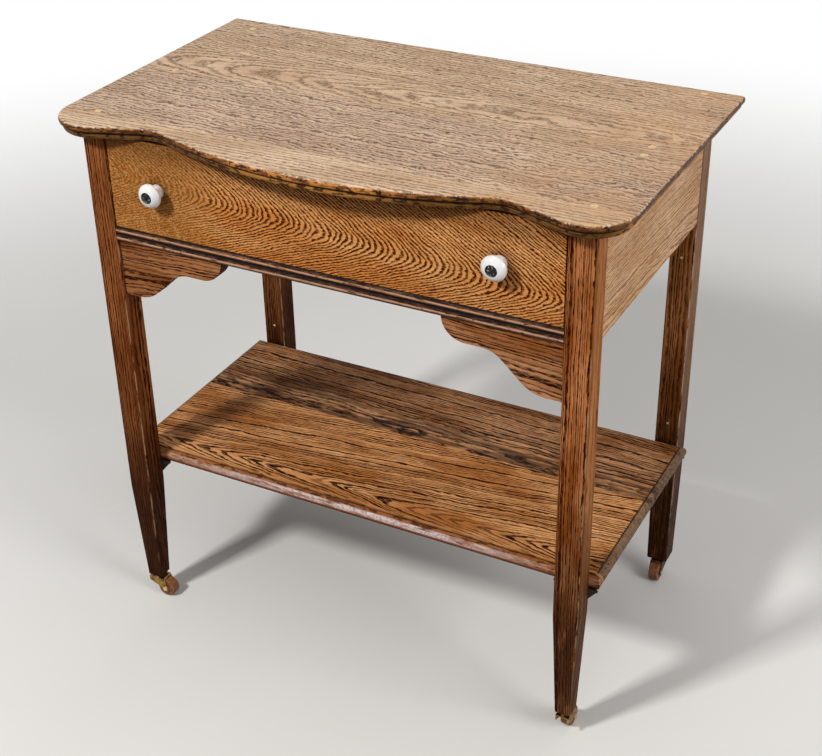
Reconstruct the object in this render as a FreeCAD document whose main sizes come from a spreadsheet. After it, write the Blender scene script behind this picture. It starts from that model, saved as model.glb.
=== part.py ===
"""Oak serving table with one drawer, a lower shelf and casters.

Frame: millimetres, X to the right, front towards -Y, Z up, origin on the floor under the middle.
"""
import FreeCAD, Part
import math
import os

import Sketcher
from FreeCAD import Rotation, Vector

SIZES = {
    # Overall
    "overall_width": 764,
    "overall_depth": 457,
    "overall_height": 762,
    # Top: a round bead over a lower step, along the front and the sides
    "top_thickness": 19,
    "top_back_overhang": 2,
    "top_front_overhang": 50,
    "top_side_overhang": 37,
    "top_bead_thickness": 9.5,
    "top_bead_round": 4,
    "top_step_setback": 4.5,
    "top_step_round": 5.5,
    "bow_radius": 580,
    "hollow_radius": 50,
    "ear_radius": 53,
    "ear_setback": 18.5,
    "ear_slope": 19,
    # Boards of the top; the inner front board takes the rest
    "board_back_width": 135.5,
    "board_inner_back_width": 87,
    "board_front_width": 66.5,
    # Plugs and screws of the top
    "plug_diameter": 10,
    "plug_depth": 5,
    "plug_side_inset": 13,
    "plug_front_inset": 20,
    "plug_back_left_inset": 29,
    "plug_back_right_inset": 10,
    "plug_middle_left_inset": 219,
    "plug_middle_right_inset": 203,
    "plug_second_right_inset": 230,
    "screw_head_diameter": 8.5,
    "screw_head_thickness": 3,
    "screw_diameter": 4.5,
    "screw_bite": 18,
    # Legs
    "leg_section": 34,
    "leg_taper_height": 200,
    "leg_front_foot": 22,
    "leg_back_foot": 30,
    "leg_foot_bevel": 3,
    "leg_edge_round": 1.5,
    # Aprons, rails and their tongues
    "apron_height": 148.5,
    "apron_thickness": 20,
    "apron_recess": 0.6,
    "rail_height": 21.5,
    "bead_rise": 3.2,
    "bead_stand_out": 0.8,
    "top_rail_height": 14,
    "top_rail_tongue": 8,
    "tongue_thickness": 8,
    "tongue_length": 14,
    "tongue_width": 20,
    "tongue_haunch": 20,
    "tongue_shoulder": 12,
    "tongue_end_gap": 1,
    "joint_gap": 0.1,
    # Scroll brackets
    "scroll_length": 157,
    "scroll_drop": 78.5,
    "scroll_thickness": 20,
    "scroll_recess": 4,
    "scroll_lobe_radius": 31,
    "scroll_flat_end": 52,
    "scroll_hollow_radius": 38,
    "scroll_belly_radius": 46,
    "scroll_belly_inset": 21,
    "scroll_edge_round": 0.8,
    # Drawer
    "drawer_side_gap": 1.2,
    "drawer_top_gap": 1.5,
    "drawer_slide_gap": 0.3,
    "drawer_face_recess": 0.5,
    "drawer_back_gap": 10.5,
    "drawer_front_thickness": 20,
    "drawer_front_lap": 7,
    "drawer_edge_round": 0.8,
    "drawer_side_thickness": 12,
    "drawer_side_drop": 7.5,
    "drawer_back_thickness": 12,
    "drawer_back_inset": 12,
    "drawer_back_drop": 6,
    "drawer_dado": 4,
    "drawer_bottom_thickness": 6,
    "drawer_bottom_lift": 10,
    "drawer_groove": 5,
    # Knobs and their bolts
    "knob_left_inset": 72,
    "knob_left_drop": 63.5,
    "knob_right_inset": 79,
    "knob_right_drop": 60.5,
    "knob_projection": 24,
    "knob_diameter": 32,
    "knob_rim_height": 13.5,
    "knob_rim_thickness": 4,
    "knob_base_diameter": 19,
    "knob_base_thickness": 5,
    "knob_waist_radius": 5.6,
    "knob_crown_radius": 14,
    "knob_edge_round": 1.5,
    "knob_seat_diameter": 15.2,
    "knob_seat_depth": 3,
    "bolt_diameter": 4,
    "bolt_head_diameter": 14.4,
    "bolt_head_rise": 4,
    "bolt_head_rim": 1.2,
    "bolt_slot_width": 1.6,
    "bolt_slot_depth": 1.5,
    "bolt_slot_turn": 35,
    "bolt_tail": 6,
    "nut_circumradius": 5,
    "nut_thickness": 3.2,
    "washer_diameter": 12,
    "washer_thickness": 1.2,
    "bore_gap": 0.1,
    # Drawer runners, guides, kickers and stops
    "runner_width": 34,
    "guide_height": 20,
    "stop_width": 40,
    "stop_height": 8,
    "stop_thickness": 12,
    "stop_spacing": 300,
    # Glue blocks behind the top
    "block_size": 22,
    "block_length": 50,
    "block_spacing": 200,
    # Lower shelf
    "shelf_height": 251,
    "shelf_end_overhang": 14,
    "shelf_thickness": 20,
    "shelf_seam": 152,
    "shelf_step": 2,
    "shelf_nose": 9,
    "shelf_round": 8,
    # Triangular brackets under the shelf
    "brace_width": 60,
    "brace_tip": 16,
    "brace_height": 27,
    "brace_depth": 42,
    "brace_thickness": 2.5,
    "brace_inset": 1,
    "brace_screw_near": 9,
    "brace_screw_far": 23,
    "brace_screw_diameter": 3.5,
    "brace_screw_head_diameter": 7,
    "brace_screw_head_thickness": 2,
    "brace_screw_bite": 13,
    # Pegs in the back legs
    "peg_diameter": 4,
    "peg_depth": 9,
    "peg_low": 280,
    "peg_high": 541,
    # Casters
    "wheel_diameter": 28,
    "wheel_width": 14,
    "wheel_round": 1.5,
    "wheel_top_gap": 1.4,
    "caster_offset": 15,
    "caster_front_left_turn": 0,
    "caster_front_right_turn": 90,
    "caster_back_left_turn": -30,
    "caster_back_right_turn": -90,
    "horn_sheet": 1.6,
    "horn_side_gap": 0.7,
    "horn_plate_nose": 12,
    "horn_plate_tail": 13,
    "horn_skirt": 8,
    "horn_boss_radius": 5.5,
    "swivel_gap": 0.3,
    "socket_diameter": 12,
    "socket_length": 36,
    "socket_flange_diameter": 18,
    "socket_flange_thickness": 1.5,
    "stem_diameter": 7,
    "stem_length": 30,
    "stem_rivet_diameter": 9,
    "stem_rivet_thickness": 1.2,
    "axle_diameter": 4,
    "axle_head_diameter": 7,
    "axle_head_thickness": 1.2,
    "running_gap": 0.06,
}

doc = FreeCAD.newDocument("serving_table")
sheet = doc.addObject("Spreadsheet::Sheet", "sizes")
for row, (alias, value) in enumerate(SIZES.items(), start=1):
    sheet.set(f"A{row}", alias)
    sheet.set(f"B{row}", str(value))
    sheet.setAlias(f"B{row}", alias)
doc.recompute()

# Planes that several pieces share, as expressions of the driving sizes
HALF_WIDTH = "(sizes.overall_width / 2)"
TOP_BACK = "(sizes.overall_depth / 2)"
TOP_UNDER = "(sizes.overall_height - sizes.top_thickness)"
LEG_OUTER = f"({HALF_WIDTH} - sizes.top_side_overhang)"
LEG_INNER = f"({LEG_OUTER} - sizes.leg_section)"
LEG_CENTRE = f"({LEG_OUTER} - sizes.leg_section / 2)"
FRAME_BACK = f"({TOP_BACK} - sizes.top_back_overhang)"
FRAME_FRONT = f"(sizes.top_front_overhang - {TOP_BACK})"
FRONT_LEG_REAR = f"({FRAME_FRONT} + sizes.leg_section)"
BACK_LEG_FACE = f"({FRAME_BACK} - sizes.leg_section)"
FRONT_LEG_CENTRE = f"({FRAME_FRONT} + sizes.leg_section / 2)"
BACK_LEG_CENTRE = f"({FRAME_BACK} - sizes.leg_section / 2)"
APRON_OUTER = f"({LEG_OUTER} - sizes.apron_recess)"
APRON_INNER = f"({APRON_OUTER} - sizes.apron_thickness)"
APRON_BOTTOM = f"({TOP_UNDER} - sizes.apron_height)"
BACK_APRON_OUTER = f"({FRAME_BACK} - sizes.apron_recess)"
BACK_APRON_INNER = f"({BACK_APRON_OUTER} - sizes.apron_thickness)"
RAIL_TOP = f"({APRON_BOTTOM} + sizes.rail_height)"
TOP_RAIL_BOTTOM = f"({TOP_UNDER} - sizes.top_rail_height)"
DRAWER_HALF = f"({LEG_INNER} - sizes.drawer_side_gap)"
DRAWER_INNER = f"({DRAWER_HALF} - sizes.drawer_side_thickness)"
DRAWER_FACE = f"({FRAME_FRONT} + sizes.drawer_face_recess)"
DRAWER_FRONT_REAR = f"({DRAWER_FACE} + sizes.drawer_front_thickness)"
DRAWER_END = f"({BACK_LEG_FACE} - sizes.drawer_back_gap)"
DRAWER_BASE = f"({RAIL_TOP} + sizes.drawer_slide_gap)"
DRAWER_CREST = f"({TOP_UNDER} - sizes.drawer_top_gap)"
DRAWER_SIDE_CREST = f"({TOP_RAIL_BOTTOM} - sizes.drawer_side_drop)"
TOP_RAIL_FACE = f"({DRAWER_FRONT_REAR} + sizes.drawer_top_gap)"
KNOB_X = {
    "left": f"(sizes.knob_left_inset - {DRAWER_HALF})",
    "right": f"({DRAWER_HALF} - sizes.knob_right_inset)",
}
KNOB_Z = {
    "left": f"({DRAWER_CREST} - sizes.knob_left_drop)",
    "right": f"({DRAWER_CREST} - sizes.knob_right_drop)",
}
DRAWER_BACK_REAR = f"({DRAWER_END} - sizes.drawer_back_inset)"
DRAWER_BACK_FACE = f"({DRAWER_BACK_REAR} - sizes.drawer_back_thickness)"
PANEL_UNDER = f"({DRAWER_BASE} + sizes.drawer_bottom_lift)"
PANEL_TOP = f"({PANEL_UNDER} + sizes.drawer_bottom_thickness)"
SHELF_UNDER = "(sizes.shelf_height - sizes.shelf_thickness)"
SHELF_LEDGE = "(sizes.shelf_height - sizes.shelf_step)"
SHELF_SEAM = f"({BACK_LEG_FACE} - sizes.shelf_seam)"
WHEEL_RADIUS = "(sizes.wheel_diameter / 2)"
PLATE_UNDER = "(sizes.wheel_diameter + sizes.wheel_top_gap)"
PLATE_TOP = f"({PLATE_UNDER} + sizes.horn_sheet)"
LEG_END = f"({PLATE_TOP} + sizes.swivel_gap + sizes.socket_flange_thickness)"
HORN_INNER = "(sizes.wheel_width / 2 + sizes.horn_side_gap)"
HORN_OUTER = f"({HORN_INNER} + sizes.horn_sheet)"

SIDES = {"left": -1, "right": 1}
ENDS = {"front": 1, "back": -1}
TURNS = {
    "+z": Rotation(),
    "-z": Rotation(Vector(1, 0, 0), 180),
    "+y": Rotation(Vector(1, 0, 0), -90),
    "-y": Rotation(Vector(1, 0, 0), 90),
}
nodes = {}


def number(expression):
    """Value of an expression of the driving sizes."""
    return float(sheet.evalExpression(expression))


def keep(piece):
    """Note a finished sub-part under its label."""
    nodes[piece.Label] = piece
    return piece


def mirrored(side, low, high):
    """Two planes given for the right-hand side, moved to either side."""
    if side > 0:
        return low, high
    return f"-({high})", f"-({low})"


def grown(planes, gap):
    """Two planes moved apart by a gap."""
    low, high = planes
    return f"({low}) - {gap}", f"({high}) + {gap}"


def centred(middle, width):
    """Two planes on either side of a middle."""
    return f"({middle}) - ({width}) / 2", f"({middle}) + ({width}) / 2"


def place(piece, x, y, z):
    """Bind a piece's position."""
    for axis, expression in zip("xyz", (x, y, z)):
        piece.setExpression(f"Placement.Base.{axis}", expression)


def board(name, x, y, z):
    """Square piece between two planes on each axis."""
    plank = doc.addObject("Part::Box", name)
    place(plank, x[0], y[0], z[0])
    for extent, (low, high) in zip(("Length", "Width", "Height"), (x, y, z)):
        plank.setExpression(extent, f"({high}) - ({low})")
    return plank


def rod(name, direction, start, diameter, length):
    """Round piece from a start point along a direction."""
    piece = doc.addObject("Part::Cylinder", name)
    piece.Placement.Rotation = TURNS[direction]
    place(piece, *start)
    piece.setExpression("Radius", f"({diameter}) / 2")
    piece.setExpression("Height", length)
    return piece


def joined(name, pieces):
    """Pieces made as one."""
    whole = doc.addObject("Part::MultiFuse", name)
    whole.Shapes = pieces
    whole.Refine = True
    return whole


def cut(name, base, tools):
    """A piece with holes, slots or grooves cut out of it."""
    result = doc.addObject("Part::Cut", name)
    result.Base = base
    result.Tool = tools[0] if len(tools) == 1 else joined(f"{name}_cutters", tools)
    return result


def group(name, pieces):
    """Like pieces kept together as separate solids."""
    cluster = doc.addObject("Part::Compound", name)
    cluster.Links = pieces
    return keep(cluster)


def add_sketch(body, role, name, offset="0"):
    """Sketch on one of a body's own planes, moved along the plane's normal."""
    sketch = body.newObject("Sketcher::SketchObject", name)
    plane = next(feature for feature in body.Origin.OriginFeatures if feature.Role == role)
    sketch.AttachmentSupport = (plane, "")
    sketch.MapMode = "FlatFace"
    sketch.setExpression("AttachmentOffset.Base.z", offset)
    return sketch


def line(sketch, start, end):
    """Straight stretch; returns its index and its first and last vertex."""
    index = sketch.addGeometry(Part.LineSegment(Vector(*start), Vector(*end)))
    return index, 1, 2


def arc(sketch, start, middle, end):
    """Round stretch through three points; returns its index and its first and last vertex."""
    index = sketch.addGeometry(Part.Arc(Vector(*start), Vector(*middle), Vector(*end)))
    begins_at_start = sketch.getPoint(index, 1).distanceToPoint(Vector(*start)) < 1e-6
    return (index, 1, 2) if begins_at_start else (index, 2, 1)


def meet(sketch, first, second, kind="Coincident"):
    """Join the end of one stretch to the start of the next, tangent or at a corner."""
    sketch.addConstraint(Sketcher.Constraint(kind, first[0], first[2], second[0], second[1]))


def drive(sketch, kind, where, expression):
    """Dimension bound to an expression."""
    index = sketch.addConstraint(Sketcher.Constraint(kind, *where, number(expression)))
    sketch.setExpression(f"Constraints[{index}]", expression)


def pin_point(sketch, vertex, x, y):
    """Bind a vertex to its place from the sketch's origin."""
    drive(sketch, "DistanceX", (-1, 1, *vertex), x)
    drive(sketch, "DistanceY", (-1, 1, *vertex), y)


def bulged(start, end, radius, side):
    """Middle of an arc between two points that swells to the left (1) or right (-1) of its run."""
    run = Vector(*end) - Vector(*start)
    half = run.Length / 2
    rise = radius - math.sqrt(radius ** 2 - half ** 2)
    sideways = Vector(-run.y, run.x).normalize() * (side * rise)
    middle = (Vector(*start) + Vector(*end)) * 0.5 + sideways
    return middle.x, middle.y


def outline(body, role, name, corners, arcs=None, offset="0"):
    """Closed outline through corners given as expressions.

    arcs maps a corner's number to the radius and side of the round stretch that starts there.
    """
    sketch = add_sketch(body, role, name, offset)
    arcs = arcs or {}
    points = [(number(x), number(y)) for x, y in corners]
    stretches = []
    for index, start in enumerate(points):
        end = points[(index + 1) % len(points)]
        if index in arcs:
            radius, side = arcs[index]
            stretches.append(arc(sketch, start, bulged(start, end, number(radius), side), end))
        else:
            stretches.append(line(sketch, start, end))
    for index, stretch in enumerate(stretches):
        meet(sketch, stretches[index - 1], stretch)
        pin_point(sketch, stretch[:2], *corners[index])
        if index in arcs:
            drive(sketch, "Radius", (stretch[0],), arcs[index][0])
    return sketch


def ring(body, role, name, centre, diameter, offset="0"):
    """Circle drawn in a body."""
    sketch = add_sketch(body, role, name, offset)
    middle = Vector(number(centre[0]), number(centre[1]), 0)
    index = sketch.addGeometry(Part.Circle(middle, Vector(0, 0, 1), number(diameter) / 2))
    pin_point(sketch, (index, 3), *centre)
    drive(sketch, "Diameter", (index,), diameter)
    return sketch


def pad(body, sketch, length, midplane=False):
    """Thickness given to an outline."""
    feature = body.newObject("PartDesign::Pad", f"{sketch.Name}_pad")
    feature.Profile = sketch
    feature.setExpression("Length", length)
    feature.Midplane = midplane
    return feature


def pocket(body, sketch, length, both_ways=True):
    """Cut in a body, to both sides of its sketch or only behind it."""
    feature = body.newObject("PartDesign::Pocket", f"{sketch.Name}_cut")
    feature.Profile = sketch
    feature.setExpression("Length", length)
    feature.Midplane = both_ways
    return feature


def revolve(body, sketch):
    """Outline turned about its sketch's upright axis."""
    feature = body.newObject("PartDesign::Revolution", f"{sketch.Name}_turned")
    feature.Profile = sketch
    feature.ReferenceAxis = (sketch, ["V_Axis"])
    feature.Angle = 360
    return feature


def ease(body, kind, amount, chosen):
    """Round or bevel the edges of a body that pass a test."""
    doc.recompute()
    base = body.Tip
    edges = [f"Edge{index}" for index, edge in enumerate(base.Shape.Edges, start=1) if chosen(edge)]
    feature = body.newObject(f"PartDesign::{kind}", f"{body.Name}_{kind}_{len(body.Group)}")
    feature.Base = (base, edges)
    feature.setExpression("Radius" if kind == "Fillet" else "Size", amount)
    return feature


def lies_at(edge, axis, value):
    """Whether a whole edge lies in a plane square to an axis."""
    box = edge.BoundBox
    low = getattr(box, f"{axis}Min")
    high = getattr(box, f"{axis}Max")
    return abs(low - value) < 1e-4 and abs(high - value) < 1e-4


# Top: glued boards, cut to a serpentine front and moulded along the front and the sides


def serpentine(body, name, height, inset):
    """Outline of the top, set in from its outer edge at the front and the sides."""
    sketch = add_sketch(body, "XY_Plane", name, height)
    slope = math.radians(number("sizes.ear_slope"))
    back = number(TOP_BACK)
    half = number(f"{HALF_WIDTH} - {inset}")
    ear_x = f"{HALF_WIDTH} - sizes.ear_radius"
    ear_y = f"-{TOP_BACK} + sizes.ear_setback + sizes.ear_radius"
    ear_radius = f"sizes.ear_radius - {inset}"
    hollow_radius = f"sizes.hollow_radius + {inset}"
    bow_radius = f"sizes.bow_radius - {inset}"
    bow_y = f"sizes.bow_radius - {TOP_BACK}"
    ear = Vector(number(ear_x), number(ear_y))
    bow = Vector(0, number(bow_y))
    outward = Vector(-math.sin(slope), -math.cos(slope))
    inward = Vector(-math.cos(slope), math.sin(slope))
    ear_end = ear + outward * number(ear_radius)
    reach = number(f"{bow_radius} + {hollow_radius}")
    span = ear_end + outward * number(hollow_radius) - bow
    along = -span.dot(inward) - math.sqrt(span.dot(inward) ** 2 - span.Length ** 2 + reach ** 2)
    slope_end = ear_end + inward * along
    hollow = slope_end + outward * number(hollow_radius)
    bow_end = hollow + (bow - hollow).normalize() * number(hollow_radius)
    half_turn = (math.pi / 2 + slope) / 2
    ear_middle = ear + Vector(math.cos(half_turn), -math.sin(half_turn)) * number(ear_radius)
    hollow_side = (slope_end - hollow + bow_end - hollow).normalize()
    hollow_middle = hollow + hollow_side * number(hollow_radius)
    bow_crest = bow - Vector(0, number(bow_radius))

    def right(point):
        return point.x, point.y

    def left(point):
        return -point.x, point.y

    stretches = [
        line(sketch, (-half, back), (half, back)),
        line(sketch, (half, back), (half, ear.y)),
        arc(sketch, (half, ear.y), right(ear_middle), right(ear_end)),
        line(sketch, right(ear_end), right(slope_end)),
        arc(sketch, right(slope_end), right(hollow_middle), right(bow_end)),
        arc(sketch, right(bow_end), right(bow_crest), left(bow_end)),
        arc(sketch, left(bow_end), left(hollow_middle), left(slope_end)),
        line(sketch, left(slope_end), left(ear_end)),
        arc(sketch, left(ear_end), left(ear_middle), (-half, ear.y)),
        line(sketch, (-half, ear.y), (-half, back)),
    ]
    back_line, side_right, ear_right, _, hollow_right = stretches[:5]
    front, hollow_left, _, ear_left, side_left = stretches[5:]
    for index, stretch in enumerate(stretches):
        corner = stretch in (back_line, side_right)
        meet(sketch, stretches[index - 1], stretch, "Coincident" if corner else "Tangent")
    sketch.addConstraint(Sketcher.Constraint("Horizontal", back_line[0]))
    for side, ear_arc, hollow_arc, edge in (
        (1, ear_right, hollow_right, side_right), (-1, ear_left, hollow_left, side_left),
    ):
        sketch.addConstraint(Sketcher.Constraint("Vertical", edge[0]))
        tip = ear_arc[2] if side > 0 else ear_arc[1]
        drive(sketch, "DistanceX", (-1, 1, edge[0], 1), f"{side} * ({HALF_WIDTH} - {inset})")
        drive(sketch, "Radius", (ear_arc[0],), ear_radius)
        drive(sketch, "DistanceY", (-1, 1, ear_arc[0], 3), ear_y)
        tip_x = f"{side} * ({ear_x} - ({ear_radius}) * sin(sizes.ear_slope))"
        drive(sketch, "DistanceX", (-1, 1, ear_arc[0], tip), tip_x)
        drive(sketch, "Radius", (hollow_arc[0],), hollow_radius)
    drive(sketch, "DistanceY", (-1, 1, *back_line[:2]), TOP_BACK)
    drive(sketch, "Radius", (front[0],), bow_radius)
    sketch.addConstraint(Sketcher.Constraint("PointOnObject", front[0], 3, -2))
    drive(sketch, "DistanceY", (-1, 1, front[0], 3), bow_y)
    return sketch


def top_blank():
    """Whole top before it is parted at its seams."""
    body = doc.addObject("PartDesign::Body", "top_blank")
    bead_under = "sizes.overall_height - sizes.top_bead_thickness"
    step = "(sizes.top_thickness - sizes.top_bead_thickness)"
    back = number(TOP_BACK)

    def along_front(level):
        return lambda edge: lies_at(edge, "Z", number(level)) and not lies_at(edge, "Y", back)

    pad(body, serpentine(body, "top_bead", bead_under, "0"), "sizes.top_bead_thickness")
    bead_round = "min(sizes.top_bead_round; 0.45 * sizes.top_bead_thickness)"
    upper_edge = along_front("sizes.overall_height")
    lower_edge = along_front(bead_under)
    ease(body, "Fillet", bead_round, lambda edge: upper_edge(edge) or lower_edge(edge))
    pad(body, serpentine(body, "top_step", TOP_UNDER, "sizes.top_step_setback"), step)
    ease(body, "Fillet", f"min(sizes.top_step_round; 0.9 * {step})", along_front(TOP_UNDER))
    return body


PLUGS = {
    "front_left": (-1, f"{FRAME_FRONT} + sizes.plug_front_inset"),
    "middle_left": (-1, f"{FRAME_BACK} - sizes.plug_middle_left_inset"),
    "back_left": (-1, f"{FRAME_BACK} - sizes.plug_back_left_inset"),
    "front_right": (1, f"{FRAME_FRONT} + sizes.plug_front_inset"),
    "middle_right": (1, f"{FRAME_BACK} - sizes.plug_middle_right_inset"),
    "second_right": (1, f"{FRAME_BACK} - sizes.plug_second_right_inset"),
    "back_right": (1, f"{FRAME_BACK} - sizes.plug_back_right_inset"),
}


def top_fixings():
    """Plugs and screws of the top, with the holes that take them in the top and in the frame."""
    plugs, screws, holes = [], [], []
    pilots = {-1: [], 1: []}
    plug_under = "sizes.overall_height - sizes.plug_depth"
    head_under = f"{plug_under} - sizes.screw_head_thickness"
    shank = f"{head_under} - {TOP_UNDER} + sizes.screw_bite"
    hole = "sizes.screw_diameter + 2 * sizes.bore_gap"
    for name, (side, y) in PLUGS.items():
        x = f"{side} * ({LEG_OUTER} - sizes.plug_side_inset)"
        plug = "sizes.plug_diameter - 2 * sizes.bore_gap"
        plugs.append(rod(f"plug_{name}", "+z", (x, y, plug_under), plug, "sizes.plug_depth"))
        seat = "sizes.plug_depth + sizes.screw_head_thickness"
        holes.append(rod(f"plug_hole_{name}", "+z", (x, y, head_under), "sizes.plug_diameter", seat))
        holes.append(rod(f"screw_hole_{name}", "-z", (x, y, plug_under), hole, "sizes.top_thickness"))
        pilot = rod(f"pilot_{name}", "-z", (x, y, TOP_UNDER), hole, "sizes.screw_bite + sizes.bore_gap")
        pilots[side].append(pilot)
        head_width, head_height = "sizes.screw_head_diameter", "sizes.screw_head_thickness"
        screw_head = rod(f"screw_head_{name}", "-z", (x, y, plug_under), head_width, head_height)
        screw_shank = rod(f"screw_shank_{name}", "-z", (x, y, head_under), "sizes.screw_diameter", shank)
        screws.append(joined(f"screw_{name}", [screw_head, screw_shank]))
    group("top_plugs", plugs)
    group("top_screws", screws)
    return holes, pilots


def top_boards(holes):
    """Boards of the top, between its seams."""
    drilled = cut("top_drilled", top_blank(), holes)
    seam_back = f"({TOP_BACK} - sizes.board_back_width)"
    seam_middle = f"({seam_back} - sizes.board_inner_back_width)"
    seam_front = f"(sizes.board_front_width - {TOP_BACK})"
    spans = {
        "top_board_back": (seam_back, TOP_BACK),
        "top_board_inner_back": (seam_middle, seam_back),
        "top_board_inner_front": (seam_front, seam_middle),
        "top_board_front": (f"-{TOP_BACK}", seam_front),
    }
    for name, y in spans.items():
        slab = board(f"{name}_slab", (f"-{HALF_WIDTH}", HALF_WIDTH), y, (TOP_UNDER, "sizes.overall_height"))
        piece = doc.addObject("Part::Common", name)
        piece.Base = drilled
        piece.Tool = slab
        keep(piece)


# Aprons and rails: each has a tongue that runs through it and enters the legs at both ends


def tongued(name, blank, x, y, z, run, holes=()):
    """Rail with its tongue; returns the cutter of the tongue's mortises in the legs."""
    planes = {"x": x, "y": y, "z": z}
    tongue = board(f"{name}_tongue", x, y, z)
    sides = {axis: grown(pair, "sizes.joint_gap") for axis, pair in planes.items()}
    sides[run] = grown(planes[run], "sizes.tongue_end_gap")
    mortise = board(f"{name}_mortise", sides["x"], sides["y"], sides["z"])
    if holes:
        keep(cut(name, joined(f"{name}_blank", [blank, tongue]), list(holes)))
    else:
        keep(joined(name, [blank, tongue]))
    return mortise


def side_apron(name, side, holes):
    """Apron between a front and a back leg, almost flush with their outer faces."""
    x = mirrored(side, APRON_INNER, APRON_OUTER)
    blank = board(f"{name}_board", x, (FRONT_LEG_REAR, BACK_LEG_FACE), (APRON_BOTTOM, TOP_UNDER))
    middle = f"{side} * ({APRON_INNER} + {APRON_OUTER}) / 2"
    run = grown((FRONT_LEG_REAR, BACK_LEG_FACE), "sizes.tongue_length")
    rise = (f"{APRON_BOTTOM} + sizes.tongue_shoulder", f"{TOP_UNDER} - sizes.tongue_haunch")
    return tongued(name, blank, centred(middle, "sizes.tongue_thickness"), run, rise, "y", holes)


def back_apron():
    """Apron between the back legs."""
    across = (f"-{LEG_INNER}", LEG_INNER)
    rise = (APRON_BOTTOM, TOP_UNDER)
    blank = board("apron_back_board", across, (BACK_APRON_INNER, BACK_APRON_OUTER), rise)
    middle = f"({BACK_APRON_INNER} + {BACK_APRON_OUTER}) / 2"
    tongue_rise = (f"{APRON_BOTTOM} + sizes.tongue_shoulder", f"{TOP_UNDER} - sizes.tongue_haunch")
    run = grown(across, "sizes.tongue_length")
    return tongued("apron_back", blank, run, centred(middle, "sizes.tongue_thickness"), tongue_rise, "x")


def front_rail():
    """Rail below the drawer, with two beads along its face."""
    body = doc.addObject("PartDesign::Body", "rail_front_body")
    crest = f"({FRAME_FRONT} - sizes.bead_stand_out)"
    valley = f"({crest} + sizes.bead_rise)"
    bead = "(sizes.rail_height / 2)"
    radius = f"(({bead} / 2) * ({bead} / 2) + sizes.bead_rise * sizes.bead_rise) / (2 * sizes.bead_rise)"
    corners = [
        (FRONT_LEG_REAR, APRON_BOTTOM),
        (FRONT_LEG_REAR, RAIL_TOP),
        (valley, RAIL_TOP),
        (valley, f"{RAIL_TOP} - {bead}"),
        (valley, APRON_BOTTOM),
    ]
    beads = {2: (radius, -1), 3: (radius, -1)}
    pad(body, outline(body, "YZ_Plane", "rail_front_section", corners, beads), f"2 * {LEG_INNER}", True)
    middle_y = FRONT_LEG_CENTRE
    middle_z = f"({APRON_BOTTOM} + {RAIL_TOP}) / 2"
    run = grown((f"-{LEG_INNER}", LEG_INNER), "sizes.tongue_length")
    y = centred(middle_y, "sizes.tongue_width")
    return tongued("rail_front", body, run, y, centred(middle_z, "sizes.tongue_thickness"), "x")


def top_rail():
    """Thin rail behind the top of the drawer front; its tongues are let into the tops of the legs."""
    across = (f"-{LEG_INNER}", LEG_INNER)
    blank = board("rail_top_board", across, (TOP_RAIL_FACE, FRONT_LEG_REAR), (TOP_RAIL_BOTTOM, TOP_UNDER))
    run = grown(across, "sizes.tongue_length")
    rise = (f"{TOP_UNDER} - sizes.tongue_thickness", TOP_UNDER)
    middle = f"({TOP_RAIL_FACE} + {FRONT_LEG_REAR}) / 2"
    return tongued("rail_top", blank, run, centred(middle, "sizes.top_rail_tongue"), rise, "x")


# Legs: square posts, tapered below the shelf and bevelled at the foot


def leg(name, side, y, foot, cutters, pilots):
    """Leg with its mortises, its caster bore and its peg holes, drilled for the bracket screws first."""
    body = doc.addObject("PartDesign::Body", f"{name}_post")
    place(body, f"{side} * {LEG_CENTRE}", y, "sizes.leg_taper_height")

    def square(label, width, offset="0"):
        half = f"({width}) / 2"
        corners = [(f"-{half}", f"-{half}"), (half, f"-{half}"), (half, half), (f"-{half}", half)]
        return outline(body, "XY_Plane", label, corners, offset=offset)

    taper = f"(sizes.leg_taper_height - {LEG_END})"
    pad(body, square(f"{name}_section", "sizes.leg_section"), f"{TOP_UNDER} - sizes.leg_taper_height")
    loft = body.newObject("PartDesign::AdditiveLoft", f"{name}_taper")
    loft.Profile = square(f"{name}_knee", "sizes.leg_section")
    loft.Sections = [square(f"{name}_foot", foot, f"-{taper}")]
    loft.Ruled = True
    end = -number(taper)
    crest = number(f"{TOP_UNDER} - sizes.leg_taper_height")
    ease(body, "Chamfer", "sizes.leg_foot_bevel", lambda edge: lies_at(edge, "Z", end))
    ease(body, "Fillet", "sizes.leg_edge_round", lambda edge: lies_at(edge, "X", edge.Vertexes[0].X)
         and lies_at(edge, "Y", edge.Vertexes[0].Y) and edge.BoundBox.ZMax > crest / 2)
    return keep(cut(name, cut(f"{name}_drilled", body, pilots), cutters))


# Scroll brackets between the front rail and the front legs


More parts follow.
